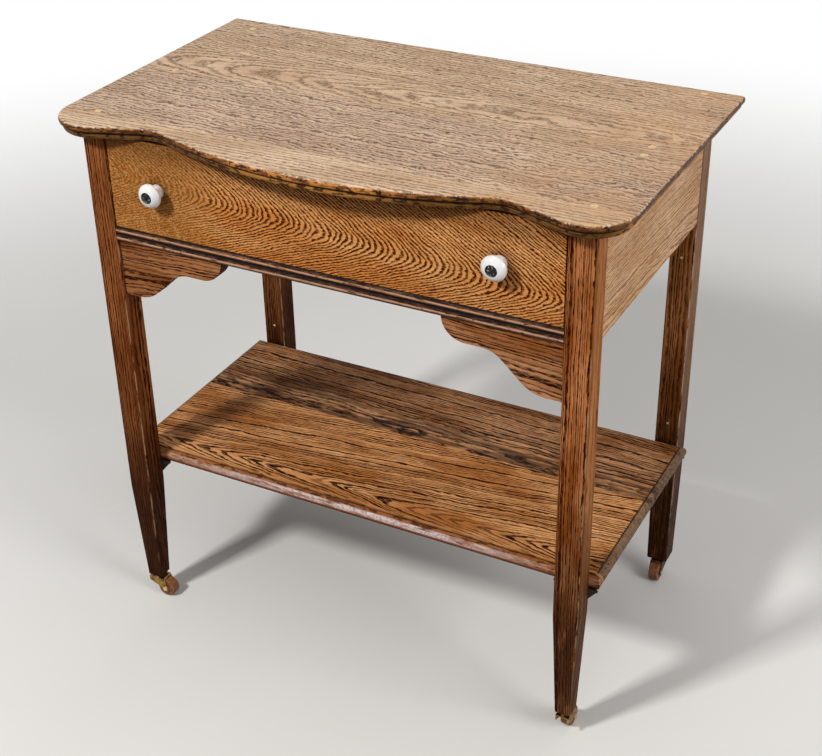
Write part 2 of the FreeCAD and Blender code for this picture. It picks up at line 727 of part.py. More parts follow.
def scroll_bracket(name, side):
    """Sawn bracket: a round lobe, a flat, a hollow and a full belly against the leg."""
    body = doc.addObject("PartDesign::Body", name)
    sketch = add_sketch(body, "XZ_Plane", f"{name}_outline")
    length, drop = number("sizes.scroll_length"), number("sizes.scroll_drop")
    lobe, flat_end = number("sizes.scroll_lobe_radius"), number("sizes.scroll_flat_end")
    hollow, belly = number("sizes.scroll_hollow_radius"), number("sizes.scroll_belly_radius")
    belly_x = length - number("sizes.scroll_belly_inset")
    hollow_centre = Vector(flat_end, -lobe - hollow)
    belly_centre = Vector(belly_x, belly - drop)
    between = belly_centre - hollow_centre
    lean = math.atan2(between.y, between.x) + math.acos((hollow + belly) / between.Length)
    spoke = Vector(math.cos(lean), math.sin(lean))
    hollow_end = hollow_centre + spoke * hollow
    belly_start = belly_centre - spoke * belly
    hollow_middle = hollow_centre + (spoke + Vector(0, 1)).normalize() * hollow
    belly_middle = belly_centre - (spoke + Vector(0, 1)).normalize() * belly
    lobe_middle = Vector(lobe, 0) - Vector(1, 1).normalize() * lobe

    def at(x, z):
        return side * x, z

    stretches = [
        line(sketch, at(0, 0), at(length, 0)),
        line(sketch, at(length, 0), at(length, -drop)),
        line(sketch, at(length, -drop), at(belly_x, -drop)),
        arc(
            sketch,
            at(belly_x, -drop),
            at(belly_middle.x, belly_middle.y),
            at(belly_start.x, belly_start.y),
        ),
        line(sketch, at(belly_start.x, belly_start.y), at(hollow_end.x, hollow_end.y)),
        arc(
            sketch,
            at(hollow_end.x, hollow_end.y),
            at(hollow_middle.x, hollow_middle.y),
            at(flat_end, -lobe),
        ),
        line(sketch, at(flat_end, -lobe), at(lobe, -lobe)),
        arc(sketch, at(lobe, -lobe), at(lobe_middle.x, lobe_middle.y), at(0, 0)),
    ]
    for index, stretch in enumerate(stretches):
        meet(sketch, stretches[index - 1], stretch, "Tangent" if index in (3, 4, 5, 6, 7) else "Coincident")
    for index, x, z in (
        (0, "0", "0"), (1, "sizes.scroll_length", "0"), (2, "sizes.scroll_length", "-sizes.scroll_drop"),
    ):
        pin_point(sketch, stretches[index][:2], f"{side} * ({x})", z)
    for index in (2, 6):
        sketch.addConstraint(Sketcher.Constraint("Horizontal", stretches[index][0]))
    belly_arc, hollow_arc, lobe_arc = stretches[3], stretches[5], stretches[7]
    belly_at = f"{side} * (sizes.scroll_length - sizes.scroll_belly_inset)"
    drive(sketch, "DistanceX", (-1, 1, belly_arc[0], 3), belly_at)
    drive(sketch, "DistanceX", (-1, 1, hollow_arc[0], 3), f"{side} * sizes.scroll_flat_end")
    drive(sketch, "DistanceY", (-1, 1, lobe_arc[0], 3), "0")
    drive(sketch, "Radius", (belly_arc[0],), "sizes.scroll_belly_radius")
    drive(sketch, "Radius", (hollow_arc[0],), "sizes.scroll_hollow_radius")
    drive(sketch, "Radius", (lobe_arc[0],), "sizes.scroll_lobe_radius")
    thickness = pad(body, sketch, "sizes.scroll_thickness")
    thickness.Reversed = True
    ease(body, "Fillet", "sizes.scroll_edge_round", lambda edge: lies_at(edge, "Y", 0))
    tip = f"{side} * ({LEG_INNER} - sizes.scroll_length)"
    place(body, tip, f"{FRAME_FRONT} + sizes.scroll_recess", APRON_BOTTOM)
    keep(body)


# Drawer: a box of thin boards behind an oak front, with its bottom let into grooves


def drawer():
    """Front, sides, back and bottom of the drawer."""
    box_rise = (DRAWER_BASE, DRAWER_SIDE_CREST)
    lap = f"{DRAWER_FACE} + sizes.drawer_front_lap"
    groove_rise = grown((PANEL_UNDER, PANEL_TOP), "sizes.joint_gap")
    groove_x = f"{DRAWER_INNER} + sizes.drawer_groove"
    groove_front = f"{DRAWER_FRONT_REAR} - sizes.drawer_groove"
    groove = board(
        "drawer_groove_cutter", grown((f"-({groove_x})", groove_x), "sizes.joint_gap"),
        (f"{groove_front} - sizes.joint_gap", DRAWER_END), groove_rise,
    )
    dado_x = f"{DRAWER_INNER} + sizes.drawer_dado"
    dado = board(
        "drawer_dado_cutter", grown((f"-({dado_x})", dado_x), "sizes.joint_gap"),
        grown((DRAWER_BACK_FACE, DRAWER_BACK_REAR), "sizes.joint_gap"),
        (f"{PANEL_TOP} - sizes.joint_gap", DRAWER_SIDE_CREST),
    )
    front = doc.addObject("PartDesign::Body", "drawer_front_board")
    corners = [
        (f"-{DRAWER_HALF}", DRAWER_BASE), (DRAWER_HALF, DRAWER_BASE),
        (DRAWER_HALF, DRAWER_CREST), (f"-{DRAWER_HALF}", DRAWER_CREST),
    ]
    face = outline(front, "XZ_Plane", "drawer_front_face", corners)
    pad(front, face, "sizes.drawer_front_thickness").Reversed = True
    ease(front, "Fillet", "sizes.drawer_edge_round", lambda edge: lies_at(edge, "Y", 0))
    place(front, "0", DRAWER_FACE, "0")
    cutters = [groove]
    for word, side in SIDES.items():
        x = mirrored(side, DRAWER_INNER, DRAWER_HALF)
        plank = board(f"drawer_side_{word}_board", x, (lap, DRAWER_END), box_rise)
        keep(cut(f"drawer_side_{word}", plank, [groove, dado]))
        rebate = mirrored(side, f"{DRAWER_INNER} - sizes.joint_gap", DRAWER_HALF)
        rise = (DRAWER_BASE, f"{DRAWER_SIDE_CREST} + sizes.joint_gap")
        cutters.append(board(f"drawer_rebate_{word}", rebate, (lap, DRAWER_FRONT_REAR), rise))
        hole_start = (KNOB_X[word], DRAWER_FACE, KNOB_Z[word])
        bore = "sizes.bolt_diameter + 2 * sizes.bore_gap"
        cutters.append(rod(f"knob_hole_{word}", "+y", hole_start, bore, "sizes.drawer_front_thickness"))
    keep(cut("drawer_front", front, cutters))
    back_rise = (PANEL_TOP, f"{DRAWER_SIDE_CREST} - sizes.drawer_back_drop")
    keep(board("drawer_back", (f"-({dado_x})", dado_x), (DRAWER_BACK_FACE, DRAWER_BACK_REAR), back_rise))
    panel_x = (f"-({groove_x})", groove_x)
    keep(board("drawer_bottom", panel_x, (groove_front, DRAWER_END), (PANEL_UNDER, PANEL_TOP)))


def knob(word):
    """Porcelain knob turned about the bolt that holds it."""
    name = f"knob_{word}"
    body = doc.addObject("PartDesign::Body", name)
    bore = "sizes.bolt_diameter / 2 + sizes.bore_gap"
    base = "sizes.knob_base_diameter / 2"
    rim = "sizes.knob_diameter / 2"
    seat = "sizes.knob_seat_diameter / 2"
    rim_top = "sizes.knob_rim_height + sizes.knob_rim_thickness"
    corners = [
        (bore, "0"),
        (base, "0"),
        (base, "-sizes.knob_base_thickness"),
        (rim, "-sizes.knob_rim_height"),
        (rim, f"-({rim_top})"),
        (seat, "-sizes.knob_projection"),
        (seat, "-sizes.knob_projection + sizes.knob_seat_depth"),
        (bore, "-sizes.knob_projection + sizes.knob_seat_depth"),
    ]
    arcs = {2: ("sizes.knob_waist_radius", -1), 4: ("sizes.knob_crown_radius", 1)}
    revolve(body, outline(body, "XY_Plane", f"{name}_section", corners, arcs))
    widths = (number("sizes.knob_diameter"), number("sizes.knob_base_diameter"))

    def outer(edge):
        wide = any(abs(edge.BoundBox.XLength - width) < 1e-3 for width in widths)
        return wide and edge.BoundBox.YLength < 1e-4 and not lies_at(edge, "Y", 0)

    ease(body, "Fillet", "min(sizes.knob_edge_round; 0.45 * sizes.knob_rim_thickness)", outer)
    place(body, KNOB_X[word], DRAWER_FACE, KNOB_Z[word])
    keep(body)


def knob_fixings():
    """Domed bolts of the knobs, and their washers and nuts inside the drawer."""
    bolts, nuts = [], []
    reach = "(sizes.drawer_front_thickness + sizes.bolt_tail)"
    seat = "sizes.knob_projection - sizes.knob_seat_depth"
    bore = "sizes.bolt_diameter + 2 * sizes.bore_gap"
    for word, side in SIDES.items():
        x, z = KNOB_X[word], KNOB_Z[word]
        body = doc.addObject("PartDesign::Body", f"knob_bolt_{word}")
        head, shank = "sizes.bolt_head_diameter / 2", "sizes.bolt_diameter / 2"
        rim = f"{seat} + sizes.bolt_head_rim"
        crown = f"{seat} + sizes.bolt_head_rise"
        dome = "(sizes.bolt_head_rise - sizes.bolt_head_rim)"
        radius = f"(({head}) * ({head}) + {dome} * {dome}) / (2 * {dome})"
        corners = [
            ("0", reach), (shank, reach), (shank, f"-({seat})"), (head, f"-({seat})"), (head, f"-({rim})"),
            ("0", f"-({crown})"),
        ]
        revolve(body, outline(body, "XY_Plane", f"knob_bolt_{word}_section", corners, {4: (radius, 1)}))
        turn = f"{side} * sizes.bolt_slot_turn"
        along = (f"{head} * cos({turn})", f"{head} * sin({turn})")
        across = (f"-sizes.bolt_slot_width / 2 * sin({turn})", f"sizes.bolt_slot_width / 2 * cos({turn})")
        slot_corners = [
            tuple(f"{end} * ({run}) + {edge} * ({width})" for run, width in zip(along, across))
            for end, edge in ((-1, -1), (1, -1), (1, 1), (-1, 1))
        ]
        slot = outline(body, "XZ_Plane", f"knob_bolt_{word}_slot", slot_corners, offset=crown)
        pocket(body, slot, "sizes.bolt_slot_depth", both_ways=False)
        place(body, x, DRAWER_FACE, z)
        bolts.append(body)
        washer_seat = (x, DRAWER_FRONT_REAR, z)
        nut_seat = (x, f"{DRAWER_FRONT_REAR} + sizes.washer_thickness", z)
        disc, sheet_metal = "sizes.washer_diameter", "sizes.washer_thickness"
        washer = rod(f"washer_blank_{word}", "+y", washer_seat, disc, sheet_metal)
        nut = doc.addObject("Part::Prism", f"nut_blank_{word}")
        nut.Placement.Rotation = TURNS["+y"]
        place(nut, *nut_seat)
        nut.Polygon = 6
        nut.setExpression("Circumradius", "sizes.nut_circumradius")
        nut.setExpression("Height", "sizes.nut_thickness")
        stack = "sizes.washer_thickness + sizes.nut_thickness"
        drill = rod(f"nut_bore_{word}", "+y", washer_seat, bore, stack)
        nuts += [cut(f"washer_{word}", washer, [drill]), cut(f"nut_{word}", nut, [drill])]
    group("knob_bolts", bolts)
    group("knob_nuts", nuts)


# Drawer carriage inside the frame


def drawer_carriage():
    """Runners below the drawer sides, guides beside them, kickers above them, and the stops on the rail."""
    run = (FRONT_LEG_REAR, BACK_LEG_FACE)
    for word, side in SIDES.items():
        x = mirrored(side, f"{APRON_INNER} - sizes.runner_width", APRON_INNER)
        keep(board(f"runner_{word}", x, run, (APRON_BOTTOM, RAIL_TOP)))
        keep(board(f"kicker_{word}", x, run, (TOP_RAIL_BOTTOM, TOP_UNDER)))
        guide_x = mirrored(side, LEG_INNER, APRON_INNER)
        keep(board(f"guide_{word}", guide_x, run, (RAIL_TOP, f"{RAIL_TOP} + sizes.guide_height")))
    stop_start = f"{DRAWER_FRONT_REAR} + sizes.drawer_slide_gap"
    stops = []
    for word, side in SIDES.items():
        x = centred(f"{side} * sizes.stop_spacing / 2", "sizes.stop_width")
        y = (stop_start, f"{stop_start} + sizes.stop_thickness")
        stops.append(board(f"drawer_stop_{word}", x, y, (RAIL_TOP, f"{RAIL_TOP} + sizes.stop_height")))
    group("drawer_stops", stops)


def glue_blocks():
    """Three-cornered blocks in the corner of the top and the back apron."""
    blocks = []
    for index in (-1, 0, 1):
        body = doc.addObject("PartDesign::Body", f"glue_block_{index + 2}")
        corners = [
            (BACK_APRON_INNER, TOP_UNDER),
            (f"{BACK_APRON_INNER} - sizes.block_size", TOP_UNDER),
            (BACK_APRON_INNER, f"{TOP_UNDER} - sizes.block_size"),
        ]
        sketch = outline(body, "YZ_Plane", f"glue_block_{index + 2}_section", corners)
        pad(body, sketch, "sizes.block_length", True)
        place(body, f"{index} * sizes.block_spacing", "0", "0")
        blocks.append(body)
    group("glue_blocks", blocks)


# Lower shelf: two glued boards held by triangular brackets against the legs


def shelf_board(name, y, flat_y, holes):
    """Board of the shelf, with a round nose and a small step along its outer edges."""
    body = doc.addObject("PartDesign::Body", f"{name}_plank")
    half = f"({LEG_OUTER} + sizes.shelf_end_overhang)"
    corners = [(f"-{half}", y[0]), (half, y[0]), (half, y[1]), (f"-{half}", y[1])]
    nosed = "sizes.shelf_thickness - sizes.shelf_step"
    pad(body, outline(body, "XY_Plane", f"{name}_outline", corners, offset=SHELF_UNDER), nosed)
    seam = number(SHELF_SEAM)
    levels = (number(SHELF_LEDGE), number(SHELF_UNDER))

    def outer(edge):
        level = any(lies_at(edge, "Z", height) for height in levels)
        return level and not lies_at(edge, "Y", seam)

    ease(body, "Fillet", f"min(sizes.shelf_round; 0.45 * ({nosed}))", outer)
    flat_half = f"({half} - sizes.shelf_nose)"
    flat = [
        (f"-{flat_half}", flat_y[0]),
        (flat_half, flat_y[0]),
        (flat_half, flat_y[1]),
        (f"-{flat_half}", flat_y[1]),
    ]
    pad(body, outline(body, "XY_Plane", f"{name}_flat", flat, offset=SHELF_LEDGE), "sizes.shelf_step")
    keep(cut(name, body, holes))


def brace(word, end, side_word, side):
    """Bent iron bracket: one flange on the leg, one under the shelf."""
    name = f"shelf_brace_{word}_{side_word}"
    body = doc.addObject("PartDesign::Body", name)
    wide, tip = "sizes.brace_width / 2", "sizes.brace_tip / 2"
    low = "-sizes.brace_height"
    upright = [(f"-{wide}", "0"), (wide, "0"), (tip, low), (f"-{tip}", low)]
    flat = [(f"-{wide}", "0"), (wide, "0"), (tip, "sizes.brace_depth"), (f"-{tip}", "sizes.brace_depth")]
    thickness = "sizes.brace_thickness"
    pad(body, outline(body, "XZ_Plane", f"{name}_upright", upright), thickness).Reversed = True
    pad(body, outline(body, "XY_Plane", f"{name}_flat", flat), thickness).Reversed = True
    hole = "sizes.brace_screw_diameter + 2 * sizes.bore_gap"
    for label in ("near", "far"):
        along = f"sizes.brace_screw_{label}"
        leg_hole = ring(body, "XZ_Plane", f"{name}_{label}_leg", ("0", f"-{along}"), hole)
        pocket(body, leg_hole, f"3 * {thickness}")
        shelf_hole = ring(body, "XY_Plane", f"{name}_{label}_shelf", ("0", along), hole)
        pocket(body, shelf_hole, f"3 * {thickness}")
    if end < 0:
        body.Placement.Rotation = Rotation(Vector(0, 0, 1), 180)
    face = FRONT_LEG_REAR if end > 0 else BACK_LEG_FACE
    place(body, f"{side} * ({LEG_CENTRE} - sizes.brace_inset)", face, SHELF_UNDER)
    return body


def shelf_braces():
    """The four brackets and their screws; returns the pilot holes in the legs and in the shelf."""
    braces, screws, shelf_pilots = [], [], []
    leg_pilots = {}
    bite = "sizes.brace_screw_bite"
    hole = "sizes.brace_screw_diameter + 2 * sizes.bore_gap"

    def screw(name, direction, into, start, surface):
        back = {"+y": "-y", "-y": "+y", "+z": "-z"}[direction]
        head_width, head_height = "sizes.brace_screw_head_diameter", "sizes.brace_screw_head_thickness"
        head = rod(f"{name}_head", back, start, head_width, head_height)
        shank_length = f"sizes.brace_thickness + {bite}"
        shank = rod(f"{name}_shank", direction, start, "sizes.brace_screw_diameter", shank_length)
        screws.append(joined(name, [head, shank]))
        into.append(rod(f"{name}_pilot", direction, surface, hole, f"{bite} + sizes.bore_gap"))

    for word, end in ENDS.items():
        for side_word, side in SIDES.items():
            braces.append(brace(word, end, side_word, side))
            x = f"{side} * ({LEG_CENTRE} - sizes.brace_inset)"
            face = FRONT_LEG_REAR if end > 0 else BACK_LEG_FACE
            pilots = leg_pilots.setdefault((word, side_word), [])
            for label in ("near", "far"):
                name = f"brace_screw_{word}_{side_word}_{label}"
                along = f"sizes.brace_screw_{label}"
                z = f"{SHELF_UNDER} - {along}"
                head_y = f"{face} + {end} * sizes.brace_thickness"
                into_leg = "-y" if end > 0 else "+y"
                screw(f"{name}_leg", into_leg, pilots, (x, head_y, z), (x, face, z))
                y = f"{face} + {end} * {along}"
                head_z = f"{SHELF_UNDER} - sizes.brace_thickness"
                screw(f"{name}_shelf", "+z", shelf_pilots, (x, y, head_z), (x, y, SHELF_UNDER))
    group("shelf_braces", braces)
    group("brace_screws", screws)
    return leg_pilots, shelf_pilots


def leg_pegs():
    """Small pegs in the front faces of the back legs; returns their holes."""
    pegs = []
    holes = {"left": [], "right": []}
    for label, side_word in (("low", "left"), ("low", "right"), ("high", "right")):
        start = (f"{SIDES[side_word]} * {LEG_CENTRE}", BACK_LEG_FACE, f"sizes.peg_{label}")
        name = f"leg_peg_{label}_{side_word}"
        peg = "sizes.peg_diameter - 2 * sizes.bore_gap"
        pegs.append(rod(name, "+y", start, peg, "sizes.peg_depth"))
        depth = "sizes.peg_depth + sizes.bore_gap"
        holes[side_word].append(rod(f"{name}_hole", "+y", start, "sizes.peg_diameter", depth))
    group("leg_pegs", pegs)
    return holes


# Casters: a brass socket in each leg, and a stem, horn, axle and wheel that swivel in it


def corner_of(word, side_word):
    """Middle of a leg on the floor."""
    y = FRONT_LEG_CENTRE if word == "front" else BACK_LEG_CENTRE
    return f"{SIDES[side_word]} * {LEG_CENTRE}", y


def caster_sockets():
    """Flanged tubes driven into the legs; returns the bores that take them."""
    sockets = []
    bores = {}
    bore = "sizes.stem_diameter + 2 * sizes.running_gap"
    flange = "sizes.socket_flange_thickness"
    for word in ENDS:
        for side_word in SIDES:
            x, y = corner_of(word, side_word)
            name = f"caster_socket_{word}_{side_word}"
            start = (x, y, f"{LEG_END} - {flange}")
            tube_length = f"sizes.socket_length + {flange}"
            tube = rod(f"{name}_tube", "+z", start, "sizes.socket_diameter", tube_length)
            collar = rod(f"{name}_collar", "+z", start, "sizes.socket_flange_diameter", flange)
            drill = rod(f"{name}_drill", "+z", start, bore, tube_length)
            sockets.append(cut(name, joined(f"{name}_blank", [tube, collar]), [drill]))
            leg_bore = "sizes.socket_diameter + 2 * sizes.bore_gap"
            depth = "sizes.socket_length + sizes.bore_gap"
            bores[word, side_word] = rod(f"{name}_bore", "+z", (x, y, LEG_END), leg_bore, depth)
    group("caster_sockets", sockets)
    return bores


def caster(word, side_word):
    """Horn, stem, axle and wheel of one caster, drawn about its stem with the wheel behind along +X."""
    where = f"{word}_{side_word}"
    turn = f"sizes.caster_{where}_turn"
    axle_at = ("sizes.caster_offset", WHEEL_RADIUS)
    axle_bore = "sizes.axle_diameter + 2 * sizes.running_gap"

    def settle(piece):
        piece.Placement.Rotation = Rotation(Vector(0, 0, 1), 1)
        piece.setExpression("Placement.Rotation.Angle", turn)
        place(piece, *corner_of(word, side_word), "0")
        keep(piece)

    horn = doc.addObject("PartDesign::Body", f"caster_horn_{where}")
    boss = "sizes.horn_boss_radius"
    skirt = f"{PLATE_TOP} - sizes.horn_skirt"
    cheek = [
        ("-sizes.horn_plate_nose", PLATE_TOP),
        ("sizes.horn_plate_tail", PLATE_TOP),
        (f"sizes.caster_offset + {boss}", WHEEL_RADIUS),
        ("sizes.caster_offset", f"{WHEEL_RADIUS} - {boss}"),
        (f"sizes.caster_offset - {boss}", WHEEL_RADIUS),
        ("-sizes.horn_plate_nose", skirt),
    ]
    rounds = {2: (boss, 1), 3: (boss, 1)}
    pad(horn, outline(horn, "XZ_Plane", f"{horn.Name}_cheek", cheek, rounds), f"2 * {HORN_OUTER}", True)
    slot = [
        ("-2 * sizes.horn_plate_nose", "0"),
        ("-2 * sizes.horn_plate_nose", PLATE_UNDER),
        (f"2 * (sizes.caster_offset + {boss})", PLATE_UNDER),
        (f"2 * (sizes.caster_offset + {boss})", "0"),
    ]
    pocket(horn, outline(horn, "XZ_Plane", f"{horn.Name}_slot", slot), f"2 * {HORN_INNER}")
    pocket(horn, ring(horn, "XZ_Plane", f"{horn.Name}_axle_hole", axle_at, axle_bore), f"3 * {HORN_OUTER}")
    stem_hole = "sizes.stem_diameter + 2 * sizes.running_gap"
    plate_hole = ring(horn, "XY_Plane", f"{horn.Name}_stem_hole", ("0", "0"), stem_hole, PLATE_TOP)
    pocket(horn, plate_hole, "4 * sizes.horn_sheet")
    settle(horn)

    stem = doc.addObject("PartDesign::Body", f"caster_stem_{where}")
    radius, rivet = "sizes.stem_diameter / 2", "sizes.stem_rivet_diameter / 2"
    crest = f"{LEG_END} + sizes.stem_length"
    rivet_face = f"{PLATE_UNDER} - sizes.stem_rivet_thickness"
    section = [
        ("0", rivet_face),
        (rivet, rivet_face),
        (rivet, PLATE_UNDER),
        (radius, PLATE_UNDER),
        (radius, f"{crest} - {radius}"),
        ("0", crest),
    ]
    revolve(stem, outline(stem, "XZ_Plane", f"{stem.Name}_section", section, {4: (radius, -1)}))
    settle(stem)

    axle_length = f"2 * {HORN_OUTER}"
    start = ("sizes.caster_offset", f"-{HORN_OUTER}", WHEEL_RADIUS)
    head_start = ("sizes.caster_offset", f"-{HORN_OUTER} - sizes.axle_head_thickness", WHEEL_RADIUS)
    far_start = ("sizes.caster_offset", HORN_OUTER, WHEEL_RADIUS)
    head_width, head_height = "sizes.axle_head_diameter", "sizes.axle_head_thickness"
    pin = rod(f"axle_pin_{where}", "+y", start, "sizes.axle_diameter", axle_length)
    head = rod(f"axle_head_{where}", "+y", head_start, head_width, head_height)
    tail = rod(f"axle_tail_{where}", "+y", far_start, head_width, head_height)
    settle(joined(f"caster_axle_{where}", [pin, head, tail]))

    wheel = doc.addObject("PartDesign::Body", f"caster_wheel_{where}")
    tread = ring(wheel, "XZ_Plane", f"{wheel.Name}_tread", axle_at, "sizes.wheel_diameter")
    pad(wheel, tread, "sizes.wheel_width", True)
    wheel_round = "min(sizes.wheel_round; 0.4 * sizes.wheel_width)"
    ease(wheel, "Fillet", wheel_round, lambda edge: lies_at(edge, "Y", edge.Vertexes[0].Y))
    wheel_bore = ring(wheel, "XZ_Plane", f"{wheel.Name}_bore", axle_at, axle_bore)
    pocket(wheel, wheel_bore, "2 * sizes.wheel_width")
    settle(wheel)


plug_holes, top_pilots = top_fixings()
top_boards(plug_holes)
mortises = {
    "left": side_apron("apron_left", -1, top_pilots[-1]),
    "right": side_apron("apron_right", 1, top_pilots[1]),
    "back": back_apron(),
    "front": front_rail(),
    "top": top_rail(),
}
brace_pilots, shelf_pilots = shelf_braces()
peg_holes = leg_pegs()
socket_bores = caster_sockets()
for word in ENDS:
    for side_word, side in SIDES.items():
        _, leg_y = corner_of(word, side_word)
        cross = ["front", "top"] if word == "front" else ["back"]
        cutters = [mortises[key] for key in [side_word, *cross]]
        cutters += top_pilots[side] + [socket_bores[word, side_word]]
        if word == "back":
            cutters += peg_holes[side_word]
        foot = f"sizes.leg_{word}_foot"
        leg(f"leg_{word}_{side_word}", side, leg_y, foot, cutters, brace_pilots[word, side_word])
        caster(word, side_word)
for side_word, side in SIDES.items():
    scroll_bracket(f"scroll_{side_word}", side)
    knob(side_word)
drawer()
knob_fixings()
drawer_carriage()
glue_blocks()
flat_front = f"{FRONT_LEG_REAR} + sizes.shelf_nose"
flat_back = f"{BACK_LEG_FACE} - sizes.shelf_nose"
shelf_board("shelf_board_front", (FRONT_LEG_REAR, SHELF_SEAM), (flat_front, SHELF_SEAM), shelf_pilots)
shelf_board("shelf_board_back", (SHELF_SEAM, BACK_LEG_FACE), (SHELF_SEAM, flat_back), shelf_pilots)
doc.recompute()

for item in doc.Objects:
    if "Invalid" in item.State or "Error" in item.State:
        raise RuntimeError(f"{item.Label} failed: {item.State}")
for label, piece in nodes.items():
    if piece.Shape.isNull() or not piece.Shape.isValid() or not piece.Shape.Solids:
        raise RuntimeError(f"{label} has no valid solid")

os.makedirs("parts", exist_ok=True)
for label, piece in nodes.items():
    piece.Shape.exportStep(f"parts/{label}.step")
print(f"{len(nodes)} sub-parts written")
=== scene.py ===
import math

import bmesh
import bpy
from mathutils import Matrix, Vector

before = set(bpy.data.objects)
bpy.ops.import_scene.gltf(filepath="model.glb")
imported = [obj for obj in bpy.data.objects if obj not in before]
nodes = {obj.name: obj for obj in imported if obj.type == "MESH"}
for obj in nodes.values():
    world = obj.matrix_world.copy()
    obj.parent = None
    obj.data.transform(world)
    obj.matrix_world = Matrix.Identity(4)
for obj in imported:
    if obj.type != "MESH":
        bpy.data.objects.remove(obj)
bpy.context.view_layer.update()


# Legs: four square oak posts, 34 mm thick, tapered below the shelf and darkened towards the foot.
# They were sawn from straight stock, so close pore lines run up every face. The outer faces have
# bleached to tan, and the varnish has rubbed off along two of the arrises.

def linear(colour):
    """Turn an sRGB hex value into the linear colour that a shader takes."""
    parts = [int(colour[place:place + 2], 16) / 255 for place in (1, 3, 5)]
    return tuple(
        part / 12.92 if part <= 0.04045 else ((part + 0.055) / 1.055) ** 2.4 for part in parts
    ) + (1.0,)


def join(material, node, links):
    """Link or set the inputs of a node of a finish."""
    for socket, value in links.items():
        if isinstance(value, bpy.types.NodeSocket):
            material.node_tree.links.new(value, node.inputs[socket])
        else:
            node.inputs[socket].default_value = value


def add(material, kind, settings, links, out=0):
    """Add a node to a finish, set it, join its inputs and give back one of its outputs."""
    node = material.node_tree.nodes.new("ShaderNode" + kind)
    for name, value in settings.items():
        setattr(node, name, value)
    join(material, node, links)
    return node.outputs[out]


def begin(name):
    """Start a finish."""
    material = bpy.data.materials.new(name)
    material.use_nodes = True
    return material


def shade(material, links):
    """Link or set the inputs of a finish's shader."""
    join(material, material.node_tree.nodes["Principled BSDF"], links)


def dress(material, *names):
    """Give a finish to pieces of the frame."""
    for name in names:
        for slot in nodes[name].material_slots:
            slot.material = material


def blotches(material, size, start, end):
    """Patches of about a size in millimetres along each axis, from none at start to full at end."""
    place = add(material, "TexCoord", {}, {}, "Object")
    scaled = add(material, "VectorMath", {"operation": "MULTIPLY"},
                 {0: place, 1: tuple(1000 / side for side in size)})
    noise = add(material, "TexNoise", {},
                {"Vector": scaled, "Scale": 1.0, "Detail": 3.0, "Roughness": 0.6})
    return add(material, "MapRange", {"interpolation_type": "SMOOTHSTEP"}, {0: noise, 1: start, 2: end})


def zone(material, axis, start, end):
    """A stretch of the part, in metres along an axis, from none at start to full at end."""
    place = add(material, "TexCoord", {}, {}, "Object")
    along = add(material, "SeparateXYZ", {}, {0: place}, axis)
    return add(material, "MapRange", {"interpolation_type": "SMOOTHSTEP"}, {0: along, 1: start, 2: end})


def facing(material, way, start, end):
    """Faces that look one way, from none at start to full at end of the cosine."""
    face = add(material, "NewGeometry", {}, {}, "Normal")
    square = add(material, "VectorMath", {"operation": "DOT_PRODUCT"}, {0: face, 1: way}, "Value")
    return add(material, "MapRange", {}, {0: square, 1: start, 2: end})


def rubbed_edge(material, reach):
    """Within reach of an arris, in metres, in patches as hands and cloths rub it."""
    rounded = add(material, "Bevel", {"samples": 6}, {"Radius": reach})
    face = add(material, "NewGeometry", {}, {}, "Normal")
    alike = add(material, "VectorMath", {"operation": "DOT_PRODUCT"}, {0: rounded, 1: face}, "Value")
    near = add(material, "MapRange", {}, {0: alike, 1: 0.985, 2: 0.86})
    rubs = blotches(material, (9, 9, 14), 0.42, 0.62)
    return add(material, "Math", {"operation": "MULTIPLY"}, {0: near, 1: rubs})


def dirt_and_painted_shade(material, reach):
    """Darker within reach of another face, in metres, by how hemmed in a point is: dust and old polish
    gather there, and it is also painted shade.
    """
    clear = add(material, "AmbientOcclusion", {"samples": 6}, {"Distance": reach}, "AO")
    return add(material, "MapRange", {}, {0: clear, 1: 0.8, 2: 0.3})


def lay(material, colour, amount, *masks):
    """Lay a colour over a finish where all of the masks show it."""
    paint = material.node_tree.nodes["Principled BSDF"].inputs["Base Color"]
    shown = amount
    for mask in masks:
        shown = add(material, "Math", {"operation": "MULTIPLY"}, {0: shown, 1: mask})
    over = add(material, "Mix", {"data_type": "RGBA"},
               {0: shown, 6: paint.links[0].from_socket, 7: linear(colour)}, 2)
    shade(material, {"Base Color": over})


